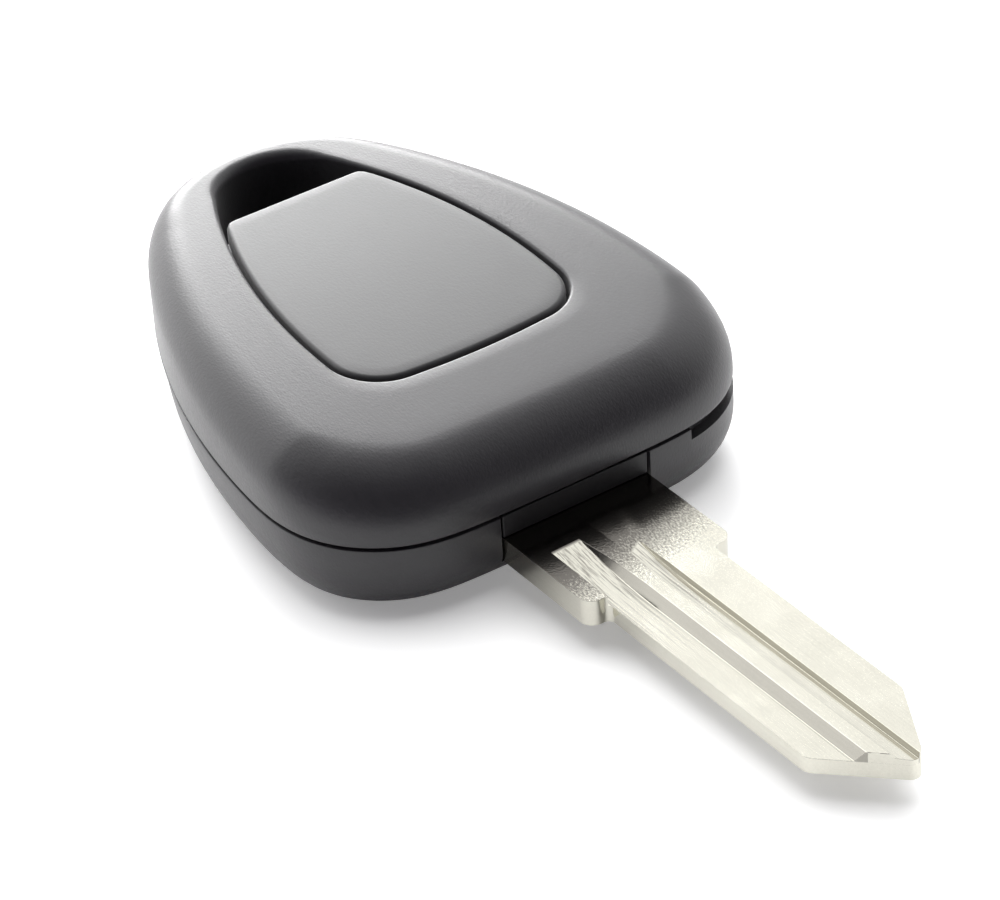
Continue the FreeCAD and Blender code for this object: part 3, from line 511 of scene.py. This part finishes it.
def loft(name, rings):
    """Closed solid through rings of corners, capped unless it ends where it starts, faces outwards."""
    closed = rings[0] == rings[-1]
    mesh = bmesh.new()
    made = [[mesh.verts.new(Vector(corner) * MM) for corner in ring] for ring in rings]
    count = len(rings[0])
    for low, high in zip(made, made[1:]):
        for k in range(count):
            mesh.faces.new((low[k], low[(k + 1) % count], high[(k + 1) % count], high[k]))
    if closed:
        bmesh.ops.remove_doubles(mesh, verts=mesh.verts, dist=1e-7)
    else:
        mesh.faces.new(made[0])
        mesh.faces.new(made[-1])
    bmesh.ops.recalc_face_normals(mesh, faces=mesh.faces)
    data = bpy.data.meshes.new(name)
    mesh.to_mesh(data)
    mesh.free()
    made_object = bpy.data.objects.new(name, data)
    bpy.context.collection.objects.link(made_object)
    return made_object


def box_rings(x0, x1, y0, y1, z0, z1):
    """Rings of a box, from its rear face to its front face."""
    return [[(x, y0, z0), (x, y1, z0), (x, y1, z1), (x, y0, z1)] for x in (x0, x1)]


def circle(x, y, radius, count=32):
    """Corners of a circle in plan."""
    return [(x + radius * math.cos(turn), y + radius * math.sin(turn))
            for turn in np.linspace(0.0, 2 * math.pi, count, endpoint=False)]


def round_rings(x, y, levels):
    """Rings of a turned form: each level is a height and a radius."""
    return [[(*corner, z) for corner in circle(x, y, radius)] for z, radius in levels]


def rectangle(x0, x1, y0, y1, inset=0.0):
    """Corners of a rectangle in plan, moved inwards."""
    x0, x1, y0, y1 = x0 + inset, x1 - inset, y0 + inset, y1 - inset
    return [(x0, y0), (x1, y0), (x1, y1), (x0, y1)]


def tube_rings(outer, inner, z0, z1):
    """Rings of a closed tube wall: two plan outlines with as many corners, and two heights."""
    return [[(*corner, z) for corner in outline] for outline, z in
            ((outer, z0), (outer, z1), (inner, z1), (inner, z0), (outer, z0))]


def half_width_at(x):
    """Half width of the head's outline at a place along it."""
    points = [outline_point(HEAD, angle) for angle in np.linspace(0.0, math.pi, 1441)]
    return min(points, key=lambda point: abs(point[0] - x))[1]


def post_places():
    """Where the posts under the circuit board's four fixing holes stand."""
    places = []
    for x in (POST_FRONT_X, POST_REAR_X):
        y = half_width_at(x) - POST_INSET
        places += [(x, y), (x, -y)]
    return places


def upper_inside():
    """Posts that hold the board down, and the wall behind the button."""
    rings = []
    for x, y in ((HOLE_FRONT_X, WALL_REAR_HALF), (CROSS_WALL_X, WALL_FRONT_HALF)):
        top = crown_at(x) - WALL_DROP
        rings.append([(x, -y, UPPER_RIM_Z), (x, y, UPPER_RIM_Z), (x, y, top), (x, -y, top)])
    pieces = [loft("cross_wall", rings)]
    for x, y in post_places():
        levels = (BOARD_TOP_Z + SEAT_GAP, BOARD_POST), (crown_at(x) - SHELL_WALL + BITE, BOARD_POST)
        pieces.append(loft("hold_down", round_rings(x, y, levels)))
    return pieces


def lower_inside():
    """Bed and pins under the blade's tang, screw bosses, board posts and the capsule's cradle."""
    front, floor = FRONT_X - SHELL_WALL + BITE, SHELL_WALL - BITE
    pieces = [loft("bed", box_rings(BED_REAR_X, front, -BED_HALF, BED_HALF, floor, SLOT_Z))]
    for side in (-1, 1):
        x, y = BED_PIN
        levels = (SLOT_Z - BITE, PIN_RADIUS), (PIN_TOP_Z, PIN_RADIUS)
        pieces.append(loft("bed_pin", round_rings(x, y * side, levels)))
        x, y = BOSS
        walls = circle(x, y * side, BOSS_RADIUS), circle(x, y * side, BOSS_BORE)
        pieces.append(loft("boss", tube_rings(*walls, floor, BLADE_TOP_Z)))
    seat = BOARD_LOW_Z - SEAT_GAP
    levels = (floor, BOARD_POST), (seat, BOARD_POST), (seat, BOARD_PIN), (BOARD_TOP_Z - 0.1, BOARD_PIN)
    for x, y in post_places():
        pieces.append(loft("board_post", round_rings(x, y, levels)))
    walls = rectangle(*CRADLE_X, *CRADLE_Y), rectangle(*CRADLE_X, *CRADLE_Y, CRADLE_WALL)
    pieces.append(loft("cradle", tube_rings(*walls, floor, CRADLE_TOP_Z)))
    return pieces


def slot_cutter():
    """Blade slot, opened by a small chamfer where it meets the front wall."""
    rings = []
    for ahead, flare in ((-3.2, 0.0), (-SLOT_CHAMFER, 0.0), (-0.226, 0.02), (0.05, 0.26)):
        x = FRONT_X + ahead
        half = SLOT_HALF + flare
        low = SLOT_Z - max(0.0, x - FRONT_X + SLOT_CHAMFER)
        rings.append([(x, -half, low), (x, half, low), (x, half, CROWN_Z), (x, -half, CROWN_Z)])
    return loft("slot_cutter", rings)


def notch_cutter():
    """Curved bar that takes the outer half of the rim away round the right front corner."""
    angles = [angle for angle in np.radians(np.arange(0.0, 110.0, 1.0))
              if outline_point(HEAD, angle)[1] > NOTCH_Y and outline_point(HEAD, angle)[0] > NOTCH_REAR_X]
    rings = []
    for angle in angles:
        inner = outline_point(HEAD, angle, TONGUE_INSET)
        outer = outline_point(HEAD, angle, -BEYOND)
        top = PARTING_Z + 0.3
        rings.append([(*inner, NOTCH_Z), (*outer, NOTCH_Z), (*outer, top), (*inner, top)])
    return loft("notch_cutter", rings)


def carve(thing, cutters, name):
    """Cut closed solids out of a piece, and keep the result as a plain mesh."""
    for cutter in cutters:
        modifier = thing.modifiers.new("Cut", "BOOLEAN")
        modifier.object = cutter
        modifier.operation = "DIFFERENCE"
        modifier.solver = "EXACT"
    made = plain(thing, name)
    for cutter in cutters:
        bpy.data.objects.remove(cutter, do_unlink=True)
    return made


def join(thing, others):
    """Add the meshes of other pieces to a piece as islands of their own."""
    mesh = bmesh.new()
    mesh.from_mesh(thing.data)
    for other in others:
        mesh.from_mesh(other.data)
        bpy.data.objects.remove(other, do_unlink=True)
    mesh.to_mesh(thing.data)
    mesh.free()
    return thing


def soften(thing, angle):
    """Smooth shading that breaks at edges with a sharper angle, in degrees."""
    for polygon in thing.data.polygons:
        polygon.use_smooth = True
    mesh = bmesh.new()
    mesh.from_mesh(thing.data)
    for edge in mesh.edges:
        edge.smooth = len(edge.link_faces) != 2 or edge.calc_face_angle(0.0) < math.radians(angle)
    mesh.to_mesh(thing.data)
    mesh.free()


def dress(thing, material):
    """Give a piece one material."""
    thing.data.materials.clear()
    thing.data.materials.append(material)


def refined(node, name, width):
    """Merged copy of a solid's mesh with its flat faces whole and its edges broken by a fine bevel."""
    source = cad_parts[node]
    mesh = bmesh.new()
    mesh.from_mesh(source.data)
    bmesh.ops.remove_doubles(mesh, verts=mesh.verts, dist=2e-6)
    bmesh.ops.dissolve_limit(mesh, angle_limit=math.radians(0.8), verts=mesh.verts, edges=mesh.edges)
    data = bpy.data.meshes.new(name)
    mesh.to_mesh(data)
    mesh.free()
    copy = bpy.data.objects.new(name, data)
    bpy.context.collection.objects.link(copy)
    bevel = copy.modifiers.new("Edges", "BEVEL")
    bevel.width = width * MM
    bevel.segments = 2
    bevel.limit_method = "ANGLE"
    bevel.angle_limit = math.radians(25.0)
    bevel.use_clamp_overlap = True
    bevel.harden_normals = False
    made = plain(copy, name)
    soften(made, REFINED_SHARP)
    return made


# Finishes

def finish(name):
    """New material with its shader, and a wire to start from."""
    material = bpy.data.materials.new(name)
    material.use_nodes = True
    tree = material.node_tree
    shader = tree.nodes["Principled BSDF"]
    return material, shader, Wire(tree)


def millimetres(wire, stretch=(1.0, 1.0, 1.0), turn=0.0):
    """Object coordinates in millimetres, stretched and turned about Z."""
    place = wire.make("ShaderNodeTexCoord", output="Object")
    return wire.make("ShaderNodeMapping", {"vector_type": "POINT"},
                     {0: place, 2: (0.0, 0.0, turn), 3: tuple(1000.0 * share for share in stretch)})


def noise(wire, place, scale, detail=2.0, roughness=0.5):
    return wire.make("ShaderNodeTexNoise", {"noise_dimensions": "3D"},
                     {"Vector": place, "Scale": scale, "Detail": detail, "Roughness": roughness})


def cells(wire, place, scale):
    return wire.make("ShaderNodeTexVoronoi", {"feature": "F1"}, {"Vector": place, "Scale": scale})


def blended(wire, share, first, second):
    """Mix of two colours, given as colours or wires."""
    return wire.make("ShaderNodeMix", {"data_type": "RGBA"}, {0: share, 6: first, 7: second}, output=2)


def bumped(wire, height, distance):
    """Normal of a surface whose height is given in units of a distance in millimetres."""
    return wire.make("ShaderNodeBump", {}, {"Strength": 1.0, "Distance": distance * MM, "Height": height})


def connect(shader, **sockets):
    """Set or link sockets of the shader by name, with underscores for spaces."""
    for name, value in sockets.items():
        socket = shader.inputs[name.replace("_", " ")]
        if isinstance(value, Wire):
            value.tree.links.new(value.socket, socket)
        else:
            socket.default_value = value


def rgb(r, g, b):
    return (r, g, b, 1.0)


def moulded_plastic(name, dark, light, grain, roughness, specular, bump, bloom):
    """Spark-eroded plastic: fine pits, a slow tone change and faint handling marks."""
    material, shader, wire = finish(name)
    place = millimetres(wire)
    drawn = millimetres(wire, (0.6, 1.0, 0.6))
    slow = noise(wire, place, 0.16, 3.0, 0.55)
    fine = noise(wire, drawn, grain, 2.0, 0.6)
    pits = cells(wire, drawn, grain * 0.62)
    mottle = noise(wire, place, 1.6, 4.0, 0.6)
    tone = slow.ramp(0.35, 0.68) * 0.6 + mottle.ramp(0.3, 0.75) * 0.4
    connect(shader, Base_Color=blended(wire, tone, rgb(*dark), rgb(*light)),
            Roughness=roughness + (fine - 0.5) * 0.16 + (mottle - 0.5) * 0.08,
            Specular_IOR_Level=specular, Sheen_Weight=bloom, Sheen_Roughness=0.55,
            Normal=bumped(wire, fine * 0.6 + pits * 0.4, bump))
    return material


def blade_metal():
    """Nickel plate on brass: finely blasted flats, a painted reflection of the dark head on them near it,
    painted shade on the groove walls, and tool lines down the grooves.
    """
    material, shader, wire = finish("blade_nickel")
    place = millimetres(wire)
    x, across, height = place.axes()
    ahead = x - FRONT_X
    groove = 1.0 - height.ramp(BLADE_TOP_Z - 0.05, BLADE_TOP_Z - 0.012)
    milled = groove * (height > BLADE_TOP_Z - GROOVE_DEPTH) * (abs(across - GROOVE_MIDDLE) < GROOVE_HALF)
    ridge, step = (abs(across - middle) < half for middle, half in GROOVE_WALLS)
    # Walls of the grooves; they take painted shade in the base colour below.
    wall = (ridge + step) * milled
    along = millimetres(wire, (0.012, 1.0, 0.6))
    lines = noise(wire, along, 7.0, 2.0, 0.65)
    deep = noise(wire, along, 2.0, 1.0, 0.5)
    specks = noise(wire, millimetres(wire, (0.6, 1.0, 1.0), 0.5), 7.5, 2.0, 0.6)
    cloud = noise(wire, place, 0.35, 3.0, 0.5)
    tone = cloud.ramp(0.3, 0.7) * 0.4 + specks.ramp(0.42, 0.72) * 0.35 + lines.ramp(0.35, 0.6) * 0.25
    # Painted reflection of the dark head on the flats nearest it, with a speckled edge, kept off the grooves.
    painted_head_reflection = 1.0 - (ahead + across * 0.3 + (specks - 0.5) * 8.0).ramp(5.0, 9.2)
    painted_head_reflection = painted_head_reflection * (1.0 - groove)
    # Tool lines in the grooves, darker near the head as part of the painted reflection of it.
    tool_lines_and_head_reflection = (1.0 - lines.ramp(0.34, 0.52)) * (1.0 - ahead.ramp(9.0, 17.0)) * milled
    # Painted head reflection, painted shade on the groove walls and the tool lines, each as a share of
    # near-black.
    reflection_shade_and_lines = wire.maths("MAXIMUM", wire.maths("MAXIMUM", tool_lines_and_head_reflection * 0.6, wall * 0.55), painted_head_reflection * 0.9)
    flat = specks * (0.005 + painted_head_reflection * 0.004) * (1.0 - groove)
    cut = (lines * 0.012 + deep * 0.022) * (milled - wall)
    plate = blended(wire, tone, rgb(0.62, 0.605, 0.530), rgb(0.71, 0.695, 0.615))
    # The near-black is the colour of the painted head reflection, the painted shade on the groove walls and
    # the dark tool lines.
    connect(shader, Metallic=1.0, Base_Color=blended(wire, reflection_shade_and_lines, plate, rgb(0.095, 0.086, 0.080)),
            Roughness=0.13 + (specks - 0.5) * 0.12 + (cloud - 0.5) * 0.08,
            Normal=bumped(wire, flat + cut, 1.0))
    return material


def plain_metal(name, colour, dull, roughness, grain, bump):
    """Sheet or turned metal with a fine grain and slightly duller patches."""
    material, shader, wire = finish(name)
    place = millimetres(wire)
    fine = noise(wire, place, grain, 2.0, 0.6)
    cloud = noise(wire, place, 0.5, 3.0, 0.5)
    connect(shader, Metallic=1.0, Base_Color=blended(wire, cloud.ramp(0.35, 0.7), rgb(*colour), rgb(*dull)),
            Roughness=roughness + (fine - 0.5) * 0.15, Normal=bumped(wire, fine, bump))
    return material


def board_laminate():
    """Green solder mask over copper tracks, with a bare edge of glass laminate."""
    material, shader, wire = finish("board_laminate")
    place = millimetres(wire)
    height = place.axes()[2]
    tracks = wire.make("ShaderNodeTexBrick", {"offset": 0.35, "squash": 0.7},
                       {"Vector": place, "Scale": 0.45, "Mortar Size": 0.055, "Brick Width": 1.7,
                        "Row Height": 0.6, "Color1": rgb(0, 0, 0), "Color2": rgb(0, 0, 0),
                        "Mortar": rgb(1, 1, 1)})
    weave = noise(wire, place, 2.5, 3.0, 0.6)
    mask = blended(wire, tracks, rgb(0.010, 0.078, 0.028), rgb(0.014, 0.100, 0.037))
    side = ((height - BOARD_LOW_Z - 0.04) * (BOARD_TOP_Z - 0.04 - height)) > 0.0
    connect(shader, Base_Color=blended(wire, side, mask, rgb(0.30, 0.33, 0.16)),
            Roughness=0.32 + (weave - 0.5) * 0.2, Normal=bumped(wire, tracks + weave * 0.2, 0.008))
    return material


def leg_and_body(name, body, light, leg_test, bump, roughness=0.45):
    """Moulded body with bright soldered ends or legs, told apart by place."""
    material, shader, wire = finish(name)
    place = millimetres(wire)
    metal = leg_test(*place.axes())
    grain = noise(wire, place, 8.0, 2.0, 0.6)
    tone = noise(wire, place, 1.2, 2.0, 0.5)
    connect(shader, Base_Color=blended(wire, metal, blended(wire, tone, body, light), rgb(0.72, 0.71, 0.68)),
            Metallic=metal, Roughness=roughness + (grain - 0.5) * 0.2 - metal * 0.15,
            Normal=bumped(wire, grain, bump))
    return material


def wound_copper():
    """Lacquered wire between two dark ferrite flanges."""
    material, shader, wire = finish("coil_copper")
    place = millimetres(wire)
    z = place.axes()[2]
    winding = ((z - WINDING_Z[0]) * (WINDING_Z[1] - z)) > 0.0
    turns = z.maths("SINE", z * (2 * math.pi / TURN_PITCH))
    grain = noise(wire, place, 6.0, 2.0, 0.6)
    connect(shader, Base_Color=blended(wire, winding, rgb(0.05, 0.05, 0.055), rgb(0.62, 0.24, 0.09)),
            Metallic=winding * 0.9, Roughness=0.55 - winding * 0.25 + (grain - 0.5) * 0.1,
            Normal=bumped(wire, turns * winding * 0.5 + grain * 0.3, 0.03))
    return material


def pad_foam():
    """Open foam: cells painted dark as shade inside them, in a grey skin."""
    material, shader, wire = finish("pad_foam")
    place = millimetres(wire)
    pores = cells(wire, place, 3.2)
    grain = noise(wire, place, 5.0, 3.0, 0.6)
    # Painted shade in the pores: dark at the centres of the cells.
    tone = blended(wire, pores.ramp(0.1, 0.7), rgb(0.03, 0.03, 0.032), rgb(0.11, 0.11, 0.115))
    connect(shader, Base_Color=tone, Roughness=0.92 + (grain - 0.5) * 0.1,
            Normal=bumped(wire, pores + grain * 0.3, 0.12))
    return material


def capsule_glass():
    """Dark glass tube with a lighter epoxy plug and the coil's tone inside."""
    material, shader, wire = finish("capsule_glass")
    place = millimetres(wire)
    x = place.axes()[0]
    rings = x.maths("SINE", x * 18.0)
    slow = noise(wire, place, 0.8, 3.0, 0.5)
    inside = blended(wire, rings.ramp(-0.2, 0.9), rgb(0.04, 0.03, 0.025), rgb(0.22, 0.10, 0.05))
    plug = x.ramp(*PLUG_X)
    connect(shader, Base_Color=blended(wire, plug, inside, rgb(0.10, 0.10, 0.09)),
            Roughness=0.08 + slow * 0.06, Coat_Weight=0.6 + slow * 0.2, Normal=bumped(wire, slow, 0.02))
    return material


# Dark and light colour, grain, roughness, specular level, bump and bloom of each plastic
PLASTICS = {
    "shell_plastic": ((0.0106, 0.0094, 0.0124), (0.0152, 0.0138, 0.0172), 8.5, 0.40, 0.62, 0.015, 0.17),
    "button_plastic": ((0.0134, 0.0127, 0.0146), (0.0190, 0.0183, 0.0203), 8.0, 0.43, 0.56, 0.010, 0.24),
    "clamp_plastic": ((0.016, 0.016, 0.017), (0.026, 0.025, 0.026), 5.0, 0.50, 0.5, 0.010, 0.0),
    "boot_rubber": ((0.045, 0.045, 0.048), (0.070, 0.070, 0.074), 4.0, 0.72, 0.35, 0.006, 0.0),
    "switch_plastic": ((0.030, 0.030, 0.032), (0.045, 0.045, 0.048), 9.0, 0.40, 0.5, 0.004, 0.0),
    "plunger_plastic": ((0.30, 0.022, 0.016), (0.38, 0.035, 0.024), 8.0, 0.35, 0.5, 0.004, 0.0),
}

# Colour, duller colour, roughness, grain and bump of each plain metal
METALS = {
    "screw_steel": ((0.62, 0.62, 0.60), (0.48, 0.48, 0.47), 0.30, 5.0, 0.004),
    "tinned_steel": ((0.70, 0.70, 0.68), (0.58, 0.58, 0.56), 0.28, 5.0, 0.004),
    "spring_steel": ((0.60, 0.58, 0.54), (0.50, 0.48, 0.45), 0.22, 5.0, 0.004),
    "cell_steel": ((0.68, 0.68, 0.67), (0.58, 0.58, 0.57), 0.24, 8.0, 0.004),
    "contact_steel": ((0.66, 0.64, 0.58), (0.54, 0.52, 0.47), 0.26, 5.0, 0.004),
    "loop_copper": ((0.76, 0.38, 0.20), (0.58, 0.27, 0.15), 0.30, 4.0, 0.006),
}


def chip_legs(x, y, z):
    """Legs of the chip, which lies right of BETWEEN_Y, and of the transistor, which lies left of it."""
    beside_chip = (abs(y - CHIP_Y) > CHIP_HALF) * (y < BETWEEN_Y)
    beside_transistor = (abs(x - TRANSISTOR_X) > TRANSISTOR_HALF) * (y > BETWEEN_Y)
    return beside_chip + beside_transistor


def row_ends(x, first):
    """Both ends of each part in a row along the board, from where the first part's cell begins."""
    step = x.maths("WRAP", x - first, ROW_PITCH, 0.0)
    return abs(step - ROW_PITCH / 2) > ROW_HALF


def finishes():
    """Every material, by the slot that takes it."""
    made = {name: moulded_plastic(name, *values) for name, values in PLASTICS.items()}
    made["blade_nickel"] = blade_metal()
    made.update({name: plain_metal(name, *values) for name, values in METALS.items()})
    made["board_laminate"] = board_laminate()
    made["chip_epoxy"] = leg_and_body(
        "chip_epoxy", rgb(0.018, 0.018, 0.020), rgb(0.030, 0.030, 0.032), chip_legs, 0.005)
    made["resonator_lid"] = leg_and_body(
        "resonator_lid", rgb(0.60, 0.56, 0.48), rgb(0.68, 0.64, 0.56),
        lambda x, y, z: z > LID_Z, 0.004, 0.40)
    made["coil_copper"] = wound_copper()
    made["resistor_ceramic"] = leg_and_body(
        "resistor_ceramic", rgb(0.020, 0.020, 0.022), rgb(0.035, 0.035, 0.038),
        lambda x, y, z: row_ends(x, SWITCH_X), 0.006)
    made["capacitor_ceramic"] = leg_and_body(
        "capacitor_ceramic", rgb(0.28, 0.20, 0.13), rgb(0.36, 0.27, 0.18),
        lambda x, y, z: row_ends(x, SWITCH_X - ROW_PITCH / 2), 0.006)
    made["pad_foam"] = pad_foam()
    made["capsule_glass"] = capsule_glass()
    return made


# Camera, lamps and floor

# Angles in degrees, the distance in millimetres, and the focal length and the aimed pixel in the photograph's
CAMERA = {"azimuth": 56.81, "elevation": 34.67, "roll": -3.65, "distance": 280.5, "focal": 4201.0,
          "u": 598.81, "v": 500.65, "aim": (FRONT_X + 2.53, 0.0, PARTING_Z)}
PHOTO_WIDE, PHOTO_HIGH = 1000.0, 900.0
SENSOR = 36.0

# Energy, width, azimuth from the camera's, elevation, and whether it shows in reflections
LAMPS = {
    "top_fill": (1.9, 60.0, 182.0, 74.0, False),
    "window": (3.5, 33.0, 190.0, 17.5, True),
    "side_window": (1.55, 80.0, 231.0, 27.0, True),
}


def direction(azimuth, elevation):
    """Unit vector to a place in the sky, by angles in degrees."""
    a, e = math.radians(azimuth), math.radians(elevation)
    return Vector((math.sin(a) * math.cos(e), -math.cos(a) * math.cos(e), math.sin(e)))


def place_camera():
    """Camera at the photograph's angle, for a frame 1000 wide and 900 high."""
    a, roll = math.radians(CAMERA["azimuth"]), math.radians(CAMERA["roll"])
    back = direction(CAMERA["azimuth"], CAMERA["elevation"])
    right = Vector((math.cos(a), math.sin(a), 0.0))
    up = back.cross(right)
    right, up = (right * math.cos(roll) + up * math.sin(roll),
                 up * math.cos(roll) - right * math.sin(roll))
    across = (CAMERA["u"] - PHOTO_WIDE / 2) / CAMERA["focal"]
    down = (CAMERA["v"] - PHOTO_HIGH / 2) / CAMERA["focal"]
    ray = right * across - up * down - back
    centre = Vector(CAMERA["aim"]) - ray * CAMERA["distance"]
    data = bpy.data.cameras.new("camera")
    data.sensor_width = SENSOR
    data.lens = CAMERA["focal"] / PHOTO_WIDE * SENSOR
    data.clip_start = 0.01
    data.clip_end = 20.0
    camera = bpy.data.objects.new("camera", data)
    bpy.context.collection.objects.link(camera)
    turned = Matrix((right, up, back)).transposed().to_4x4()
    camera.matrix_world = Matrix.Translation(centre * MM) @ turned
    bpy.context.scene.camera = camera


def sun_lamp(name, energy, width, azimuth, elevation, shine):
    """Wide soft lamp far away, in a direction measured from the camera's."""
    data = bpy.data.lights.new(name, "SUN")
    data.energy = energy
    data.angle = math.radians(width)
    lamp = bpy.data.objects.new(name, data)
    bpy.context.collection.objects.link(lamp)
    toward = direction(CAMERA["azimuth"] + azimuth, elevation)
    lamp.rotation_mode = "QUATERNION"
    lamp.rotation_quaternion = toward.to_track_quat("Z", "Y")
    lamp.visible_glossy = shine


def surroundings():
    """Bright wall of light behind the key, a neutral patch above, a dim rest, and white to the camera."""
    world = bpy.data.worlds.new("studio")
    bpy.context.scene.world = world
    world.use_nodes = True
    tree = world.node_tree
    tree.nodes.clear()
    wire = Wire(tree)
    sky = wire.make("ShaderNodeTexCoord", output="Generated")
    a = math.radians(CAMERA["azimuth"])
    behind = wire.make("ShaderNodeVectorMath", {"operation": "DOT_PRODUCT"},
                       {0: sky, 1: (-math.sin(a), math.cos(a), 0.0)}, output=1)
    left = wire.make("ShaderNodeVectorMath", {"operation": "DOT_PRODUCT"},
                     {0: sky, 1: (-math.cos(a), -math.sin(a), 0.0)}, output=1)
    high = sky.axes()[2]
    wall = behind.ramp(-0.25, 0.45) * (1.0 - high.ramp(0.80, 0.95)) * high.ramp(0.30, 0.55, 0.52, 1.0)
    low = (1.0 - high.ramp(0.0, 0.38)) * left.ramp(-0.6, 0.9, 0.10, 0.50)
    above = high.ramp(0.92, 0.98)
    level = 0.04 + low + above * 0.42 + wall * 1.25
    seen = wire.make("ShaderNodeLightPath", output="Is Camera Ray")
    strength = level + (1.0 - level) * seen
    tint = blended(wire, (wall + above + seen).ramp(0.0, 0.15), rgb(1.0, 0.90, 1.10), rgb(1.0, 1.0, 1.0))
    glow = wire.make("ShaderNodeBackground", {}, {"Color": tint, "Strength": strength})
    wire.make("ShaderNodeOutputWorld", {}, {"Surface": glow})


def floor_sheet():
    """Large pale table top."""
    material, shader, wire = finish("table_top")
    place = millimetres(wire)
    slow = noise(wire, place, 0.02, 2.0, 0.5)
    path = wire.make("ShaderNodeLightPath", output="Is Camera Ray")
    seen = path + Wire(path.tree, path.socket.node.outputs["Is Glossy Ray"]) * 0.1
    connect(shader, Base_Color=blended(wire, slow, rgb(0.93, 0.93, 0.935), rgb(0.95, 0.95, 0.95)),
            Roughness=0.6 + (slow - 0.5) * 0.05, Specular_IOR_Level=0.2, Emission_Color=rgb(1.0, 1.0, 1.0),
            Emission_Strength=seen * 0.25)
    mesh = bmesh.new()
    bmesh.ops.create_grid(mesh, x_segments=8, y_segments=8, size=TABLE_HALF * MM)
    data = bpy.data.meshes.new("table_top")
    mesh.to_mesh(data)
    mesh.free()
    data.materials.append(material)
    sheet = bpy.data.objects.new("table_top", data)
    sheet.location.z = -TABLE_DROP * MM
    bpy.context.collection.objects.link(sheet)


# Making the key

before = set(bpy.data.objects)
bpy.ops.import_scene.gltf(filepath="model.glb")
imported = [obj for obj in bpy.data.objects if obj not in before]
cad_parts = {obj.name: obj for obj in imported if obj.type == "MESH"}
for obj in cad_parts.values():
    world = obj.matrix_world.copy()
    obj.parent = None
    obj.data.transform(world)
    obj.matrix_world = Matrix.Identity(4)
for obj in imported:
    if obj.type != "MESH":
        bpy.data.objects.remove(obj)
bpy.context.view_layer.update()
FINISH = finishes()
for node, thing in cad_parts.items():
    for number, material in enumerate(thing.data.materials):
        slot = material.name.split(".")[0] if material else ""
        if slot in FINISH:
            thing.data.materials[number] = FINISH[slot]

place_camera()
for name, values in LAMPS.items():
    sun_lamp(name, *values)
surroundings()
floor_sheet()

tree = moulded_tree()
round_angles = spread_angles(HEAD, HEAD_STEPS)
rounding = eased_insets(HEAD, round_angles, BLEND) + INSIDE

upper = moulded("upper_shell_moulding", tree,
                sheet_object("upper_sheet", round_angles, upper_stations(round_angles), True, rounding),
                OPENING, FINISH["shell_plastic"])
join(upper, upper_inside())
soften(upper, MOULDED_SHARP)

lower = moulded("lower_shell_moulding", tree,
                sheet_object("lower_sheet", round_angles, lower_stations(round_angles), True, rounding),
                RING_HOLE, FINISH["shell_plastic"])
lower = carve(lower, [slot_cutter(), notch_cutter()], "lower_shell_moulding")
join(lower, lower_inside())
soften(lower, MOULDED_SHARP)

button_angles = spread_angles(OPENING, BUTTON_STEPS)
button = moulded("button_moulding", tree,
                 sheet_object("button_sheet", button_angles, button_stations(), False),
                 OPENING, FINISH["button_plastic"], rear_cut=BUTTON_REAR_X,
                 cut_rounding=BUTTON_CUT_ROUNDING)

blade = refined("key_blade", "blade_milled", BLADE_BREAK)
clamp = refined("blade_clamp", "clamp_plate", CLAMP_BREAK)

PIECES = (
    (upper, "key", "upper_shell", "shell_plastic"),
    (lower, "key", "lower_shell", "shell_plastic"),
    (button, "button", "push_button", "button_plastic"),
    (blade, "key", "key_blade", "blade_nickel"),
    (clamp, "key", "blade_clamp", "clamp_plastic"),
)
for piece, body, node, slot in PIECES:
    dress(piece, FINISH[slot])
    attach(piece, body)
    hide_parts(node)

view = bpy.context.scene.view_settings
view.view_transform = "Standard"
